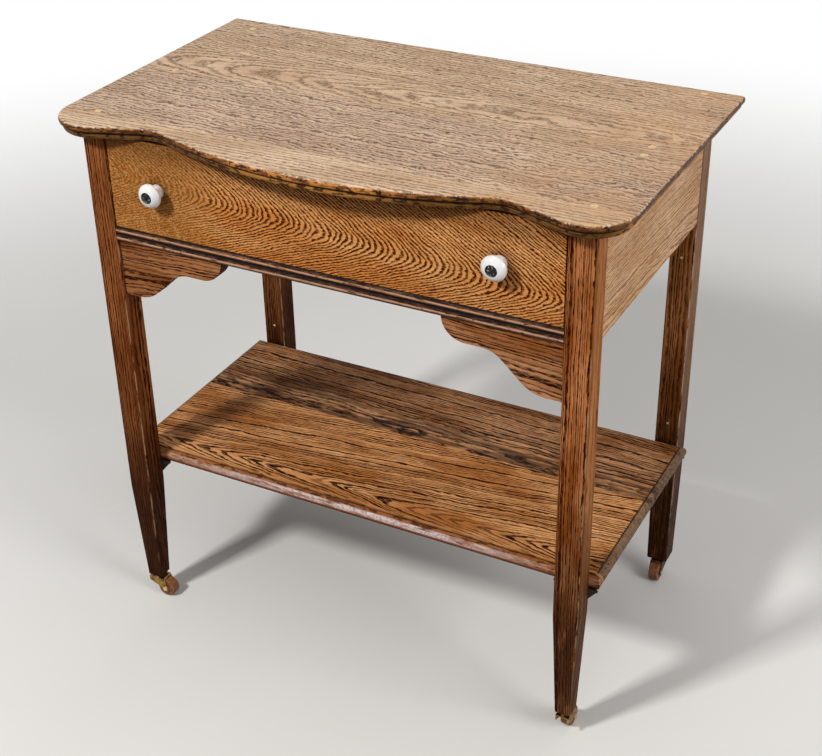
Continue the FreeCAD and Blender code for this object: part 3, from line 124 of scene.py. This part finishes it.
def oak(name, turn, heart, shell, ring, sway, tones, marks, tick, gloss, shine):
    """Varnished oak, seen by its dark lines of open pores, one line to a year.

    Each line is broken into short ticks along the grain. Real pores are 0.3 mm wide, too fine to
    show, so a tick is drawn about 2 mm wide. Lengths are in millimetres.
    turn: angles in degrees that lay the log along X. heart: shift that brings its heart to zero.
    shell: how the rings close along the log, lean along it and lean across it.
    ring: spacing of the years, and how far good and bad years differ.
    sway: length, width and reach of the slow bends of the grain.
    tones: light ground, dark ground and pores.
    marks: depth of a ring, depth that a tick adds, depth of stray ticks, part of a year that is dark.
    tick: length and width. gloss: roughness between the pores. shine: level of reflection.
    """
    material = begin(name)
    closing, lean_along, lean_across = shell
    spacing, uneven = ring
    sway_length, sway_width, sway_reach = sway
    light_ground, dark_ground, pore_tone = tones
    ring_depth, tick_depth, stray_depth, dark_part = marks
    tick_length, tick_width = tick
    fray, jag = 0.9, 0.6

    def fibres(source, length, width, detail, out=0):
        """Noise drawn out along the log, of a length and width in millimetres."""
        drawn = add(material, "VectorMath", {"operation": "MULTIPLY"},
                    {0: source, 1: (1 / length, 1 / width, 1 / width)})
        return add(material, "TexNoise", {},
                   {"Vector": drawn, "Scale": 1.0, "Detail": detail, "Roughness": 0.6}, out)

    place = add(material, "TexCoord", {}, {}, "Object")
    log = add(material, "Mapping", {}, {
        "Vector": place, "Location": heart, "Rotation": [math.radians(angle) for angle in turn],
        "Scale": (1000.0, 1000.0, 1000.0),
    })
    wander = fibres(log, sway_length, sway_width, 3.0, "Color")
    centred = add(material, "VectorMath", {"operation": "SUBTRACT"}, {0: wander, 1: (0.5, 0.5, 0.5)})
    swayed = add(material, "VectorMath", {"operation": "MULTIPLY_ADD"},
                 {0: centred, 1: (0.0, sway_reach, sway_reach), 2: log})

    # The years, counted outwards from the heart, with frayed and jagged borders.
    trunk = add(material, "VectorMath", {"operation": "MULTIPLY"}, {0: swayed, 1: (closing, 1.0, 1.0)})
    radius = add(material, "VectorMath", {"operation": "LENGTH"}, {0: trunk}, "Value")
    lean = add(material, "VectorMath", {"operation": "DOT_PRODUCT"},
               {0: swayed, 1: (lean_along, lean_across, lean_across)}, "Value")
    cone = add(material, "Math", {"operation": "ADD"}, {0: radius, 1: lean})
    even = add(material, "Math", {"operation": "DIVIDE"}, {0: cone, 1: spacing})
    climate = add(material, "TexNoise", {"noise_dimensions": "1D"},
                  {"W": even, "Scale": 0.3, "Detail": 1.0})
    years = add(material, "Math", {"operation": "MULTIPLY_ADD"}, {0: climate, 1: uneven, 2: even})
    ragged = fibres(swayed, 2.5 * tick_length, 3 * spacing, 4.0)
    frayed = add(material, "Math", {"operation": "MULTIPLY_ADD"}, {0: ragged, 1: fray, 2: years})
    pores = fibres(swayed, tick_length, tick_width, 2.0)
    count = add(material, "Math", {"operation": "MULTIPLY_ADD"}, {0: pores, 1: jag, 2: frayed})
    season = add(material, "Math", {"operation": "FRACT"}, {0: count})
    year = add(material, "Math", {"operation": "FLOOR"}, {0: count})

    # The dark early wood of each year, deeper and wider in good years, and the ticks across it.
    growth = add(material, "TexWhiteNoise", {"noise_dimensions": "1D"}, {"W": year})
    vigour = add(material, "MapRange", {}, {0: growth, 3: 1.0 - 0.2 * uneven, 4: 1.0})
    width = add(material, "MapRange", {},
                {0: growth, 3: dark_part - 0.04 * uneven, 4: dark_part + 0.04 * uneven})
    late = add(material, "Math", {"operation": "SUBTRACT"}, {0: season, 1: width})
    opens = add(material, "MapRange", {"interpolation_type": "SMOOTHSTEP"}, {0: season, 1: 0.0, 2: 0.07})
    closes = add(material, "MapRange", {"interpolation_type": "SMOOTHSTEP"}, {0: late, 1: 0.1, 2: -0.1})
    spring = add(material, "Math", {"operation": "MULTIPLY"}, {0: opens, 1: closes})
    early = add(material, "Math", {"operation": "MULTIPLY"}, {0: spring, 1: vigour})
    ticks = add(material, "MapRange", {"interpolation_type": "SMOOTHSTEP"}, {0: pores, 1: 0.43, 2: 0.54})
    broken = add(material, "Math", {"operation": "MULTIPLY_ADD"}, {0: ticks, 1: tick_depth, 2: ring_depth})
    ringed = add(material, "Math", {"operation": "MULTIPLY"}, {0: early, 1: broken})
    dark = add(material, "Math", {"operation": "MULTIPLY_ADD", "use_clamp": True},
               {0: ticks, 1: stray_depth, 2: ringed})

    # The colour: a cloudy ground, the dark lines over it, and a silky sheen along the fibres.
    cloudy = fibres(swayed, 150, 34, 3.0)
    cloud = add(material, "MapRange", {"interpolation_type": "SMOOTHSTEP"}, {0: cloudy, 1: 0.32, 2: 0.68})
    ground = add(material, "Mix", {"data_type": "RGBA"},
                 {0: cloud, 6: linear(light_ground), 7: linear(dark_ground)}, 2)
    colour = add(material, "Mix", {"data_type": "RGBA"}, {0: dark, 6: ground, 7: linear(pore_tone)}, 2)
    silk = add(material, "MapRange", {},
               {0: fibres(swayed, 30, 2.2, 2.0), 1: 0.25, 2: 0.75, 3: 0.78, 4: 1.22})
    silky = add(material, "HueSaturation", {}, {"Color": colour, "Value": silk})
    dull = add(material, "MapRange", {}, {0: dark, 3: gloss, 4: gloss + 0.25})
    level = add(material, "Math", {"operation": "SUBTRACT"}, {0: 1.0, 1: dark})
    dents = add(material, "Bump", {}, {"Strength": 0.35, "Distance": 0.0005, "Height": level})
    shade(material, {"Base Color": silky, "Roughness": dull, "Normal": dents, "IOR": 1.5,
                     "Specular IOR Level": shine})
    return material


LEG_TONES = {
    "leg_front_left": ("#b16b3b", "#804118", "#2c0b00"),
    "leg_front_right": ("#e0925b", "#a1551e", "#300b00"),
    "leg_back_left": ("#9c6236", "#6e3c18", "#2a0f03"),
    "leg_back_right": ("#d6915a", "#a0622f", "#301003"),
}
for number, (leg, tones) in enumerate(LEG_TONES.items()):
    post = oak(f"oak_post_{leg[4:]}", turn=(0, 90, 0), heart=(40 * number, 55 + 23 * number, 70),
               shell=(0.012, 0.0, 0.0), ring=(2.9, 2.4), sway=(110, 22, 5.0), tones=tones,
               marks=(0.8, 0.35, 0.16, 0.52), tick=(14, 1.7), gloss=0.42, shine=0.04)
    bleached, worn = ("#846a55", "#dcbaa4") if leg == "leg_back_right" else ("#a5682f", "#cfa37c")
    outward = (-1.0 if leg.endswith("left") else 1.0, 0.0, 0.0)
    outer_face = facing(post, outward, 0.6, 0.95)
    foot = zone(post, "Z", 0.46, 0.14)
    lay(post, bleached, 0.65, outer_face, blotches(post, (20, 20, 90), 0.25, 0.5))
    lay(post, "#240f05", 0.86, foot, blotches(post, (9, 9, 60), 0.18, 0.48))
    # Darker near other faces, in patches: dirt, and painted shade in the joints.
    lay(post, "#1a0a04", 0.85, dirt_and_painted_shade(post, 0.012), blotches(post, (10, 10, 16), 0.3, 0.55))
    face = add(post, "NewGeometry", {}, {}, "Normal")
    sideways = add(post, "SeparateXYZ", {}, {0: face}, "X")
    endways = add(post, "SeparateXYZ", {}, {0: face}, "Y")
    between = add(post, "Math", {"operation": "MULTIPLY"}, {0: sideways, 1: endways})
    arris = add(post, "MapRange", {}, {0: between, 1: -0.05, 2: -0.25})
    above_foot = zone(post, "Z", 0.02, 0.2)
    below_rail = zone(post, "Z", 0.595, 0.575)
    lay(post, worn, 0.6, arris, blotches(post, (8, 8, 30), 0.4, 0.56), above_foot, below_rail)
    dress(post, leg)


# Side and back aprons, and the thin rail over the drawer: oak boards tenoned into the legs.
# The side aprons have kept little stain, so they are a light tan with fine grain along them.

for number, (apron, turn, depth) in enumerate((
        ("apron_left", -90, -250), ("apron_right", -90, 250), ("apron_back", 0, -130),
        ("rail_top", 0, 250))):
    board = oak(f"oak_{apron}", turn=(0, 0, turn), heart=(120 * number, depth, -565),
                shell=(0.13, 0.0, 0.0), ring=(2.5, 1.6), sway=(70, 30, 7.0),
                tones=("#ecbd91", "#d5a270", "#55290c"), marks=(0.42, 0.3, 0.08, 0.48),
                tick=(12, 1.7), gloss=0.45, shine=0.08)
    # Darker near other faces, in patches: dirt, and painted shade in the joints.
    lay(board, "#3a1d0c", 0.8, dirt_and_painted_shade(board, 0.014), blotches(board, (22, 22, 14), 0.3, 0.6))
    dress(board, apron)


# Front rail: an oak strip below the drawer with two beads run along its face by a moulding plane.
# The crowns of the beads are painted pale as a painted highlight, and everything set back from their
# fronts, the quirk between them included, is painted black as painted shade.

rail = oak("oak_beaded_rail", turn=(0, 0, 0), heart=(0, 60, -560), shell=(0.01, 0.0, 0.0),
           ring=(3.0, 2.0), sway=(90, 12, 2.5), tones=("#8f5b3a", "#6c3e22", "#2b1006"),
           marks=(0.4, 0.5, 0.2, 0.48), tick=(12, 1.9), gloss=0.36, shine=0.08)
crowns = zone(rail, "Y", -0.17905, -0.1793)
quirk = zone(rail, "Y", -0.1788, -0.1781)
beads = zone(rail, "Y", -0.1777, -0.1787)
lay(rail, "#dcae8c", 0.9, crowns, blotches(rail, (24, 6, 3), 0.32, 0.5))
lay(rail, "#100704", 0.96, quirk)
lay(rail, "#25110a", 0.9, beads, blotches(rail, (8, 5, 3), 0.58, 0.68))
dress(rail, "rail_front")


# Scroll brackets: two fretted oak pieces under the rail, glued to it and to the legs.
# The saw left the edges dark, and the faces have dark lines along the grain.

SCROLL_TONES = {
    "scroll_left": ("#bb7c4e", "#884b22", "#2c0c00"),
    "scroll_right": ("#dc9c6d", "#a05f2e", "#280a00"),
}
for number, (scroll, tones) in enumerate(SCROLL_TONES.items()):
    bracket = oak(f"oak_{scroll}", turn=(0, 2 - 4 * number, 0), heart=(60 + 90 * number, 45, -500),
                  shell=(0.06, 0.0, 0.0), ring=(2.7, 2.2), sway=(90, 16, 5.0), tones=tones,
                  marks=(0.7, 0.4, 0.14, 0.5), tick=(12, 1.7), gloss=0.42, shine=0.04)
    sawn_edge = facing(bracket, (0.0, -1.0, 0.0), 0.75, 0.35)
    front = facing(bracket, (0.0, -1.0, 0.0), 0.3, 0.9)
    lay(bracket, "#28120a", 0.85, sawn_edge)
    # Darker near other faces, in patches: dirt, and painted shade in the joints.
    lay(bracket, "#1d0c05", 0.9, dirt_and_painted_shade(bracket, 0.014), blotches(bracket, (12, 12, 12), 0.25, 0.5))
    lay(bracket, "#c09470", 0.6, rubbed_edge(bracket, 0.002), front)
    dress(bracket, scroll)


# Drawer carriage and glue blocks: runners, guides, kickers, stops and blocks of plain sawn wood,
# glued inside the frame. They never had stain, and a century has turned them a dusty brown.

carriage = oak("bare_sawn_wood", turn=(0, 0, -90), heart=(0, 90, -630), shell=(0.02, 0.0, 0.0),
               ring=(3.6, 2.0), sway=(160, 40, 5.0), tones=("#c09a6a", "#a57d50", "#71502f"),
               marks=(0.3, 0.4, 0.1, 0.48), tick=(12, 1.9), gloss=0.7, shine=0.1)
# Darker near other faces: dust, and painted shade in the corners.
lay(carriage, "#5b4029", 0.8, dirt_and_painted_shade(carriage, 0.02))
dress(carriage, "runner_left", "runner_right", "guide_left", "guide_right", "kicker_left",
      "kicker_right", "glue_blocks", "drawer_stops")


# Drawer box: thin sides, back and bottom of a pale secondary wood, grooved together.
# The insides are bare and clean, darker in the corners with a little dust and painted shade.

for number, (panel, turn) in enumerate((
        ("drawer_side_left", -90), ("drawer_side_right", -90), ("drawer_back", 0), ("drawer_bottom", 0))):
    lining = oak(f"bare_{panel}", turn=(0, 0, turn), heart=(70 * number, 140 + 30 * number, -600),
                 shell=(0.05, 0.0, 0.0), ring=(5.0, 2.0), sway=(180, 50, 8.0),
                 tones=("#d6b588", "#bf996d", "#8d643c"), marks=(0.3, 0.3, 0.05, 0.48),
                 tick=(14, 1.9), gloss=0.62, shine=0.12)
    # Darker in the corners, in patches: dust, and painted shade.
    lay(lining, "#6d4d30", 0.8, dirt_and_painted_shade(lining, 0.02), blotches(lining, (30, 30, 30), 0.25, 0.6))
    dress(lining, panel)


# Drawer front: one plain-sawn oak board in golden-brown varnish. The saw passed close to the heart
# near its left end, so the year rings show as nested arcs that spread to the right.

drawer_face = oak("oak_drawer_front", turn=(0, -4.2, 0), heart=(0, 194, -668), shell=(0.0, 0.45, -0.1),
                  ring=(3.6, 1.0), sway=(50, 26, 9.0), tones=("#fbb66f", "#e39148", "#521a00"),
                  marks=(0.78, 0.25, 0.18, 0.5), tick=(5, 2.0), gloss=0.38, shine=0.03)
heart_end = zone(drawer_face, "X", -0.13, -0.22)
painted_top_shadow = zone(drawer_face, "Z", 0.698, 0.738)
lay(drawer_face, "#b47432", 0.6, heart_end)
lay(drawer_face, "#6b3a12", 0.55, heart_end, blotches(drawer_face, (3.4, 3.4, 2.2), 0.48, 0.6))
lay(drawer_face, "#e0b074", 0.5, heart_end, blotches(drawer_face, (2.6, 2.6, 2), 0.54, 0.62))
# Painted shadow of the overhanging top: the upper part of the drawer front is darkened, and within 9 cm of
# the top it is darkened further in patches as painted shade.
lay(drawer_face, "#2a1206", 0.45, painted_top_shadow)
lay(drawer_face, "#1d0c04", 0.9, dirt_and_painted_shade(drawer_face, 0.09),
    blotches(drawer_face, (20, 20, 20), 0.05, 0.4))
dress(drawer_face, "drawer_front")


# Knobs: turned porcelain with a clear glaze over a white body, each drawn onto the drawer by a
# black bolt with a domed head, and a nut and washer inside. The screws are of the same steel.

def speckled(name, tones, size, rough, dent):
    """A finish of two tones in patches of a size in millimetres, with a range of roughness."""
    material = begin(name)
    patches = blotches(material, (size, size, size), 0.35, 0.68)
    colour = add(material, "Mix", {"data_type": "RGBA"},
                 {0: patches, 6: linear(tones[0]), 7: linear(tones[1])}, 2)
    fine = blotches(material, (size / 2, size / 2, size / 2), 0.3, 0.7)
    dull = add(material, "MapRange", {}, {0: fine, 3: rough[0], 4: rough[1]})
    dents = add(material, "Bump", {}, {"Strength": dent, "Distance": 0.0003, "Height": fine})
    shade(material, {"Base Color": colour, "Roughness": dull, "Normal": dents})
    return material


porcelain = speckled("glazed_porcelain", ("#fbfbf9", "#f4f2ee"), size=8, rough=(0.05, 0.12), dent=0.05)
shade(porcelain, {"IOR": 1.52, "Coat Weight": 0.5, "Coat Roughness": 0.04})
# Greyer within 4 mm of other faces: painted shade, with a little dirt.
lay(porcelain, "#8f8475", 0.8, dirt_and_painted_shade(porcelain, 0.004))
dress(porcelain, "knob_left", "knob_right")

blacking = speckled("japanned_iron", ("#040404", "#0b0a0a"), size=3, rough=(0.04, 0.08), dent=0.1)
shade(blacking, {"Specular IOR Level": 0.3})
# Pale specks on the black heads: painted glints.
lay(blacking, "#d8d2c8", 0.85, blotches(blacking, (3, 3, 3), 0.6, 0.64))
lay(blacking, "#55504a", 0.8, rubbed_edge(blacking, 0.0008))
dress(blacking, "knob_bolts")

steel = speckled("plain_steel", ("#a5a29c", "#6b625a"), size=4, rough=(0.32, 0.55), dent=0.1)
shade(steel, {"Metallic": 1.0})
dress(steel, "knob_nuts", "brace_screws", "top_screws")


# Shelf: two oak boards glued edge to edge, with a rounded edge all round, lying between the legs.
# The front board has bold dark grain, with a painted highlight along the middle of its nose and painted
# shade under it, and the back one has gone dark and streaky near the seam, with a light painted shadow
# towards its left end.

SHELF_BOARDS = {
    "shelf_board_front": (12, 241, -0.12, (4.1, 2.6), ("#efad70", "#bd763a", "#260800"),
                          (0.95, 0.2, 0.16, 0.5)),
    "shelf_board_back": (-150, 215, 0.02, (4.6, 2.6), ("#d69d6d", "#985d30", "#1c0802"),
                         (0.78, 0.3, 0.22, 0.52)),
}
for plank, (middle, depth, lean, ring, tones, marks) in SHELF_BOARDS.items():
    board = oak(f"oak_{plank}", turn=(0, 0, 0), heart=(100, middle + 100, -depth), shell=(0.0, lean, 0.0),
                ring=ring, sway=(130, 40, 18.0), tones=tones, marks=marks, tick=(14, 2.2), gloss=0.34,
                shine=0.03)
    for end in (-1.0, 1.0):
        rounded = zone(board, "X", end * 0.3499, end * 0.3502)
        shoulder = zone(board, "X", end * 0.3525, end * 0.3512)
        lay(board, "#7d6552", 0.85, rounded, blotches(board, (8, 40, 8), 0.2, 0.45))
        lay(board, "#4a3526", 0.7, rounded, blotches(board, (4, 7, 4), 0.54, 0.62))
        lay(board, "#1d100a", 0.65, rounded, shoulder)
    # Darker near other faces, in patches: dirt, and painted shade in the joints.
    lay(board, "#1d0e07", 0.85, dirt_and_painted_shade(board, 0.02), blotches(board, (30, 30, 30), 0.2, 0.5))
    if plank == "shelf_board_back":
        seam = zone(board, "Y", 0.15, 0.06)
        scratched = zone(board, "Y", 0.12, 0.08)
        painted_left_shadow = zone(board, "X", -0.02, -0.3)
        lay(board, "#1e1511", 0.66, seam, blotches(board, (110, 9, 8), 0.4, 0.55))
        lay(board, "#c99a70", 0.6, scratched, blotches(board, (50, 4, 6), 0.58, 0.66))
        # Painted shadow: the back board is darkened a little towards its left end.
        lay(board, "#1c0e08", 0.12, painted_left_shadow, blotches(board, (120, 40, 40), 0.3, 0.6))
    else:
        arris = zone(board, "Y", -0.1302, -0.1314)
        nose = zone(board, "Y", -0.1354, -0.1357)
        nose_back = zone(board, "Y", -0.1376, -0.1364)
        upper = zone(board, "Z", 0.2478, 0.2462)
        lower = zone(board, "Z", 0.2398, 0.2390)
        shaded_underside = zone(board, "Z", 0.2372, 0.2356)
        past_left = zone(board, "X", -0.33, -0.06)
        past_right = zone(board, "X", 0.31, 0.12)
        lay(board, "#dc9c62", 0.6, arris, blotches(board, (40, 9, 9), 0.35, 0.55))
        lay(board, "#8f5430", 0.75, nose)
        lay(board, "#3d1b0b", 0.8, nose, blotches(board, (14, 5, 5), 0.5, 0.58))
        # Painted highlight across the nose: pale pink patches along it, and a white band with lavender
        # specks in its middle.
        lay(board, "#c99c80", 0.7, upper, nose, blotches(board, (16, 8, 4), 0.45, 0.55))
        lay(board, "#efd9d0", 0.85, upper, nose, past_left, past_right,
            blotches(board, (45, 14, 6), 0.36, 0.52))
        lay(board, "#8a7f92", 0.6, upper, nose, past_left, past_right,
            blotches(board, (4, 4, 3), 0.5, 0.58))
        lay(board, "#9c4c22", 0.9, lower, nose)
        # Painted shade on the underside of the nose.
        lay(board, "#2c1207", 0.9, shaded_underside, nose)
        lay(board, "#2a1208", 0.8, nose, nose_back)
    dress(board, plank)


# Shelf brackets: four triangles of black iron screwed up into the shelf and into the legs.
# The paint is dull and has dusted brown where it rusts.

iron = speckled("dull_black_iron", ("#1d1a17", "#352a22"), size=7, rough=(0.5, 0.75), dent=0.3)
lay(iron, "#5a3d28", 0.9, rubbed_edge(iron, 0.0012))
dress(iron, "shelf_braces")


# Top: four oak boards glued up, cut to a serpentine front and moulded with a bead over a step.
# Handling has worn the stain off the flat, which is a greyish tan, while the moulding keeps dark
# polish with orange wood showing through where it is knocked.

TOP_BOARDS = {
    "top_board_front": ((0, 0, -1), (90, 420, -700), (0.02, 0.0, 0.0), (6.6, 1.4), (90, 20, 10.0),
                        ("#e0bf9c", "#c7a27c", "#492710"), (0.32, 0.35, 0.12, 0.47)),
    "top_board_inner_front": ((0, 0, 1), (-150, 420, -716), (0.03, 0.0, 0.0), (6.8, 1.0), (30, 20, 24.0),
                              ("#d4b494", "#bc997a", "#402511"), (0.46, 0.35, 0.1, 0.47)),
    "top_board_inner_back": ((0, 0, -1), (-200, -50, -735), (0.12, 0.0, 0.0), (5.2, 1.2), (50, 20, 16.0),
                             ("#dab894", "#c19b75", "#442510"), (0.34, 0.35, 0.12, 0.46)),
    "top_board_back": ((0, 0, 2), (60, -560, -718), (0.05, 0.0, 0.0), (6.6, 1.0), (34, 20, 22.0),
                       ("#d8b692", "#c09b76", "#402511"), (0.42, 0.35, 0.1, 0.47)),
}
FLAT_SHINE, MOULDING_SHINE = 0.25, 0.06
for plank, (turn, heart, shell, ring, sway, tones, marks) in TOP_BOARDS.items():
    board = oak(f"oak_{plank}", turn, heart, shell, ring, sway, tones, marks, tick=(6, 2.4), gloss=0.4,
                shine=FLAT_SHINE)
    edge = zone(board, "Z", 0.7612, 0.7598)
    gleam = add(board, "MapRange", {}, {0: edge, 3: FLAT_SHINE, 4: MOULDING_SHINE})
    shade(board, {"Specular IOR Level": gleam})
    right_end = zone(board, "X", 0.1, 0.34)
    right_face = facing(board, (1.0, 0.0, 0.0), 0.6, 0.9)
    step = zone(board, "Z", 0.7525, 0.7515)
    step_foot_highlight = zone(board, "Z", 0.7472, 0.7455)
    lay(board, "#c3905f", 0.4, right_end, blotches(board, (90, 60, 40), 0.3, 0.65))
    lay(board, "#7d4520", 0.95, edge)
    lay(board, "#d48c44", 0.9, edge, blotches(board, (16, 16, 6), 0.44, 0.56))
    lay(board, "#1a0c06", 0.9, edge, blotches(board, (8, 8, 4), 0.51, 0.6))
    lay(board, "#4b3c33", 0.85, right_face, blotches(board, (20, 20, 8), 0.2, 0.45))
    # Painted highlight: gold patches on the step and a bright line along its foot, with dark patches
    # between.
    lay(board, "#c28542", 0.9, step, blotches(board, (30, 30, 6), 0.3, 0.5))
    lay(board, "#1f0f07", 0.88, step, blotches(board, (12, 12, 5), 0.48, 0.6))
    lay(board, "#e0b074", 0.8, step, step_foot_highlight, blotches(board, (12, 12, 4), 0.5, 0.58))
    # Painted shade: the front of the moulding is darkened where the serpentine top curves back.
    shoulder = zone(board, "Z", 0.7616, 0.7590)
    hollow_shade = zone(board, "Y", -0.2220, -0.2050)
    front = facing(board, (0.0, -1.0, 0.0), 0.3, 0.7)
    lay(board, "#25130a", 0.65, shoulder, hollow_shade, front)
    # Painted glints: pale specks along the crown of the bead.
    above_bead = zone(board, "Z", 0.7590, 0.7602)
    below_flat = zone(board, "Z", 0.7619, 0.7615)
    lay(board, "#e2c8ae", 0.7, above_bead, below_flat, blotches(board, (5, 5, 3), 0.55, 0.62))
    # Painted shadow under the bead: a black band where the bead meets the step.
    under_bead = zone(board, "Z", 0.7552, 0.7536)
    over_step = zone(board, "Z", 0.7500, 0.7514)
    lay(board, "#0c0503", 0.97, under_bead, over_step)
    dress(board, plank)


# Plugs and pegs: short dowels of pale wood, driven over the screws of the top and into two legs,
# and pared off level. Their end grain takes the varnish yellow.

plug = speckled("pale_dowel", ("#e6c48b", "#c79f64"), size=3, rough=(0.4, 0.6), dent=0.2)
dress(plug, "top_plugs")
# The pegs are pale dowel ends painted near white: a painted glint.
peg = speckled("pared_dowel", ("#f2e6d0", "#cdb391"), size=2, rough=(0.4, 0.6), dent=0.2)
lay(peg, "#1d0f07", 0.95, rubbed_edge(peg, 0.001))
dress(peg, "leg_pegs")


# Casters: brass horns swivel on stems in sockets at the feet, and small turned wooden wheels run
# on riveted brass axles. The brass is tarnished, bright where it rubs, and brown at the back.

brass = speckled("tarnished_brass", ("#b08c4c", "#654a28"), size=6, rough=(0.22, 0.48), dent=0.15)
shade(brass, {"Metallic": 1.0})
lay(brass, "#3f2d1a", 0.8, dirt_and_painted_shade(brass, 0.006))
lay(brass, "#ecd39a", 0.9, rubbed_edge(brass, 0.0012))
dress(brass, "caster_sockets")
brown = speckled("brown_brass", ("#4a3620", "#251a10"), size=6, rough=(0.35, 0.6), dent=0.15)
shade(brown, {"Metallic": 1.0})
lay(brown, "#8c7248", 0.7, rubbed_edge(brown, 0.0012))
rivet = speckled("rubbed_brass", ("#f0e2bd", "#c7a868"), size=3, rough=(0.2, 0.35), dent=0.1)
shade(rivet, {"Metallic": 1.0})
wheel = speckled("turned_wheel_wood", ("#9a5f35", "#5f3315"), size=2.5, rough=(0.4, 0.65), dent=0.25)
lay(wheel, "#c59a6e", 0.7, rubbed_edge(wheel, 0.0012))
for corner in ("front_left", "front_right", "back_left", "back_right"):
    horn = brown if corner.startswith("back") else brass
    dress(horn, f"caster_horn_{corner}", f"caster_stem_{corner}")
    dress(rivet, f"caster_axle_{corner}")
    dress(wheel, f"caster_wheel_{corner}")


# Floor: a plain pale sheet, matt, that takes the shadow and fades into the white surround.
# It looks pale to the eye but throws back less light than it shows, so the part stays dark below.

def looked_at(material):
    """Rays by which the eye meets a thing, straight on, in a mirror or through glass."""
    ray = add(material, "LightPath", {}, {}).node.outputs
    mirrored = add(material, "Math", {"operation": "MAXIMUM"},
                   {0: ray["Is Glossy Ray"], 1: ray["Is Transmission Ray"]})
    return add(material, "Math", {"operation": "MAXIMUM"}, {0: mirrored, 1: ray["Is Camera Ray"]})


FLOOR_HALF = 12.0
FADE_START, FADE_END = 0.9, 2.6
shape = bmesh.new()
bmesh.ops.create_grid(shape, x_segments=1, y_segments=1, size=FLOOR_HALF)
sheet = bpy.data.meshes.new("floor")
shape.to_mesh(sheet)
shape.free()
floor = bpy.data.objects.new("floor", sheet)
bpy.context.scene.collection.objects.link(floor)
pale = speckled("matt_pale_floor", ("#f1efeb", "#edebe6"), size=900, rough=(0.88, 0.95), dent=0.0)
shade(pale, {"Specular IOR Level": 0.1})
unseen = add(pale, "Math", {"operation": "SUBTRACT"}, {0: 1.0, 1: looked_at(pale)})
lay(pale, "#77726b", 1.0, unseen)
place = add(pale, "TexCoord", {}, {}, "Object")
away = add(pale, "VectorMath", {"operation": "LENGTH"}, {0: place}, "Value")
far = add(pale, "MapRange", {"interpolation_type": "SMOOTHSTEP"}, {0: away, 1: FADE_START, 2: FADE_END})
matt = pale.node_tree.nodes["Principled BSDF"].outputs["BSDF"]
clear = add(pale, "BsdfTransparent", {}, {})
fading = add(pale, "MixShader", {}, {0: far, 1: matt, 2: clear})
join(pale, pale.node_tree.nodes["Material Output"], {"Surface": fading})
floor.data.materials.append(pale)


# Studio light: one soft lamp from the upper left of the front, a weaker one from the right, a wide
# one overhead, and an even white surround that lights the part less than it shows.

MIDDLE = Vector((0, 0, 0.5))
for name, spot, size, power in (
        ("key", (-1.05, -2.35, 2.8), 0.4, 74.0),
        ("side", (2.7, -0.5, 1.7), 1.5, 36.0),
        ("overhead", (0.1, 0.5, 3.0), 2.2, 14.0)):
    lamp = bpy.data.lights.new(name, "AREA")
    lamp.size = size
    lamp.energy = power
    holder = bpy.data.objects.new(name, lamp)
    bpy.context.scene.collection.objects.link(holder)
    holder.location = spot
    holder.rotation_euler = (MIDDLE - Vector(spot)).to_track_quat("-Z", "Y").to_euler()

LIGHT_GIVEN, LIGHT_SHOWN = 0.22, 1.0
world = bpy.data.worlds.new("studio")
world.use_nodes = True
bpy.context.scene.world = world
strength = add(world, "MapRange", {}, {0: looked_at(world), 3: LIGHT_GIVEN, 4: LIGHT_SHOWN})
join(world, world.node_tree.nodes["Background"], {"Color": linear("#ffffff"), "Strength": strength})
bpy.context.scene.view_settings.view_transform = "Standard"


# Camera: 1.44 m up and to the right of the front, looking down, as the photograph was taken.
# Its place and angles come from the corners of the top, the legs and the shelf in an image of
# 822 by 756.

PHOTO_WIDTH = 822
FOCAL_PIXELS = 1496.5
EYE = (0.8475, -1.5477, 1.4371)
HEADING, DIP, ROLL = 0.491, 0.543, -0.020
lens = bpy.data.cameras.new("view")
lens.sensor_width = 36.0
lens.lens = FOCAL_PIXELS * lens.sensor_width / PHOTO_WIDTH
lens.clip_end = 60.0
camera = bpy.data.objects.new("view", lens)
bpy.context.scene.collection.objects.link(camera)
camera.matrix_world = (
    Matrix.Translation(EYE) @ Matrix.Rotation(HEADING, 4, "Z")
    @ Matrix.Rotation(math.pi / 2 - DIP, 4, "X") @ Matrix.Rotation(ROLL, 4, "Z")
)
bpy.context.scene.camera = camera
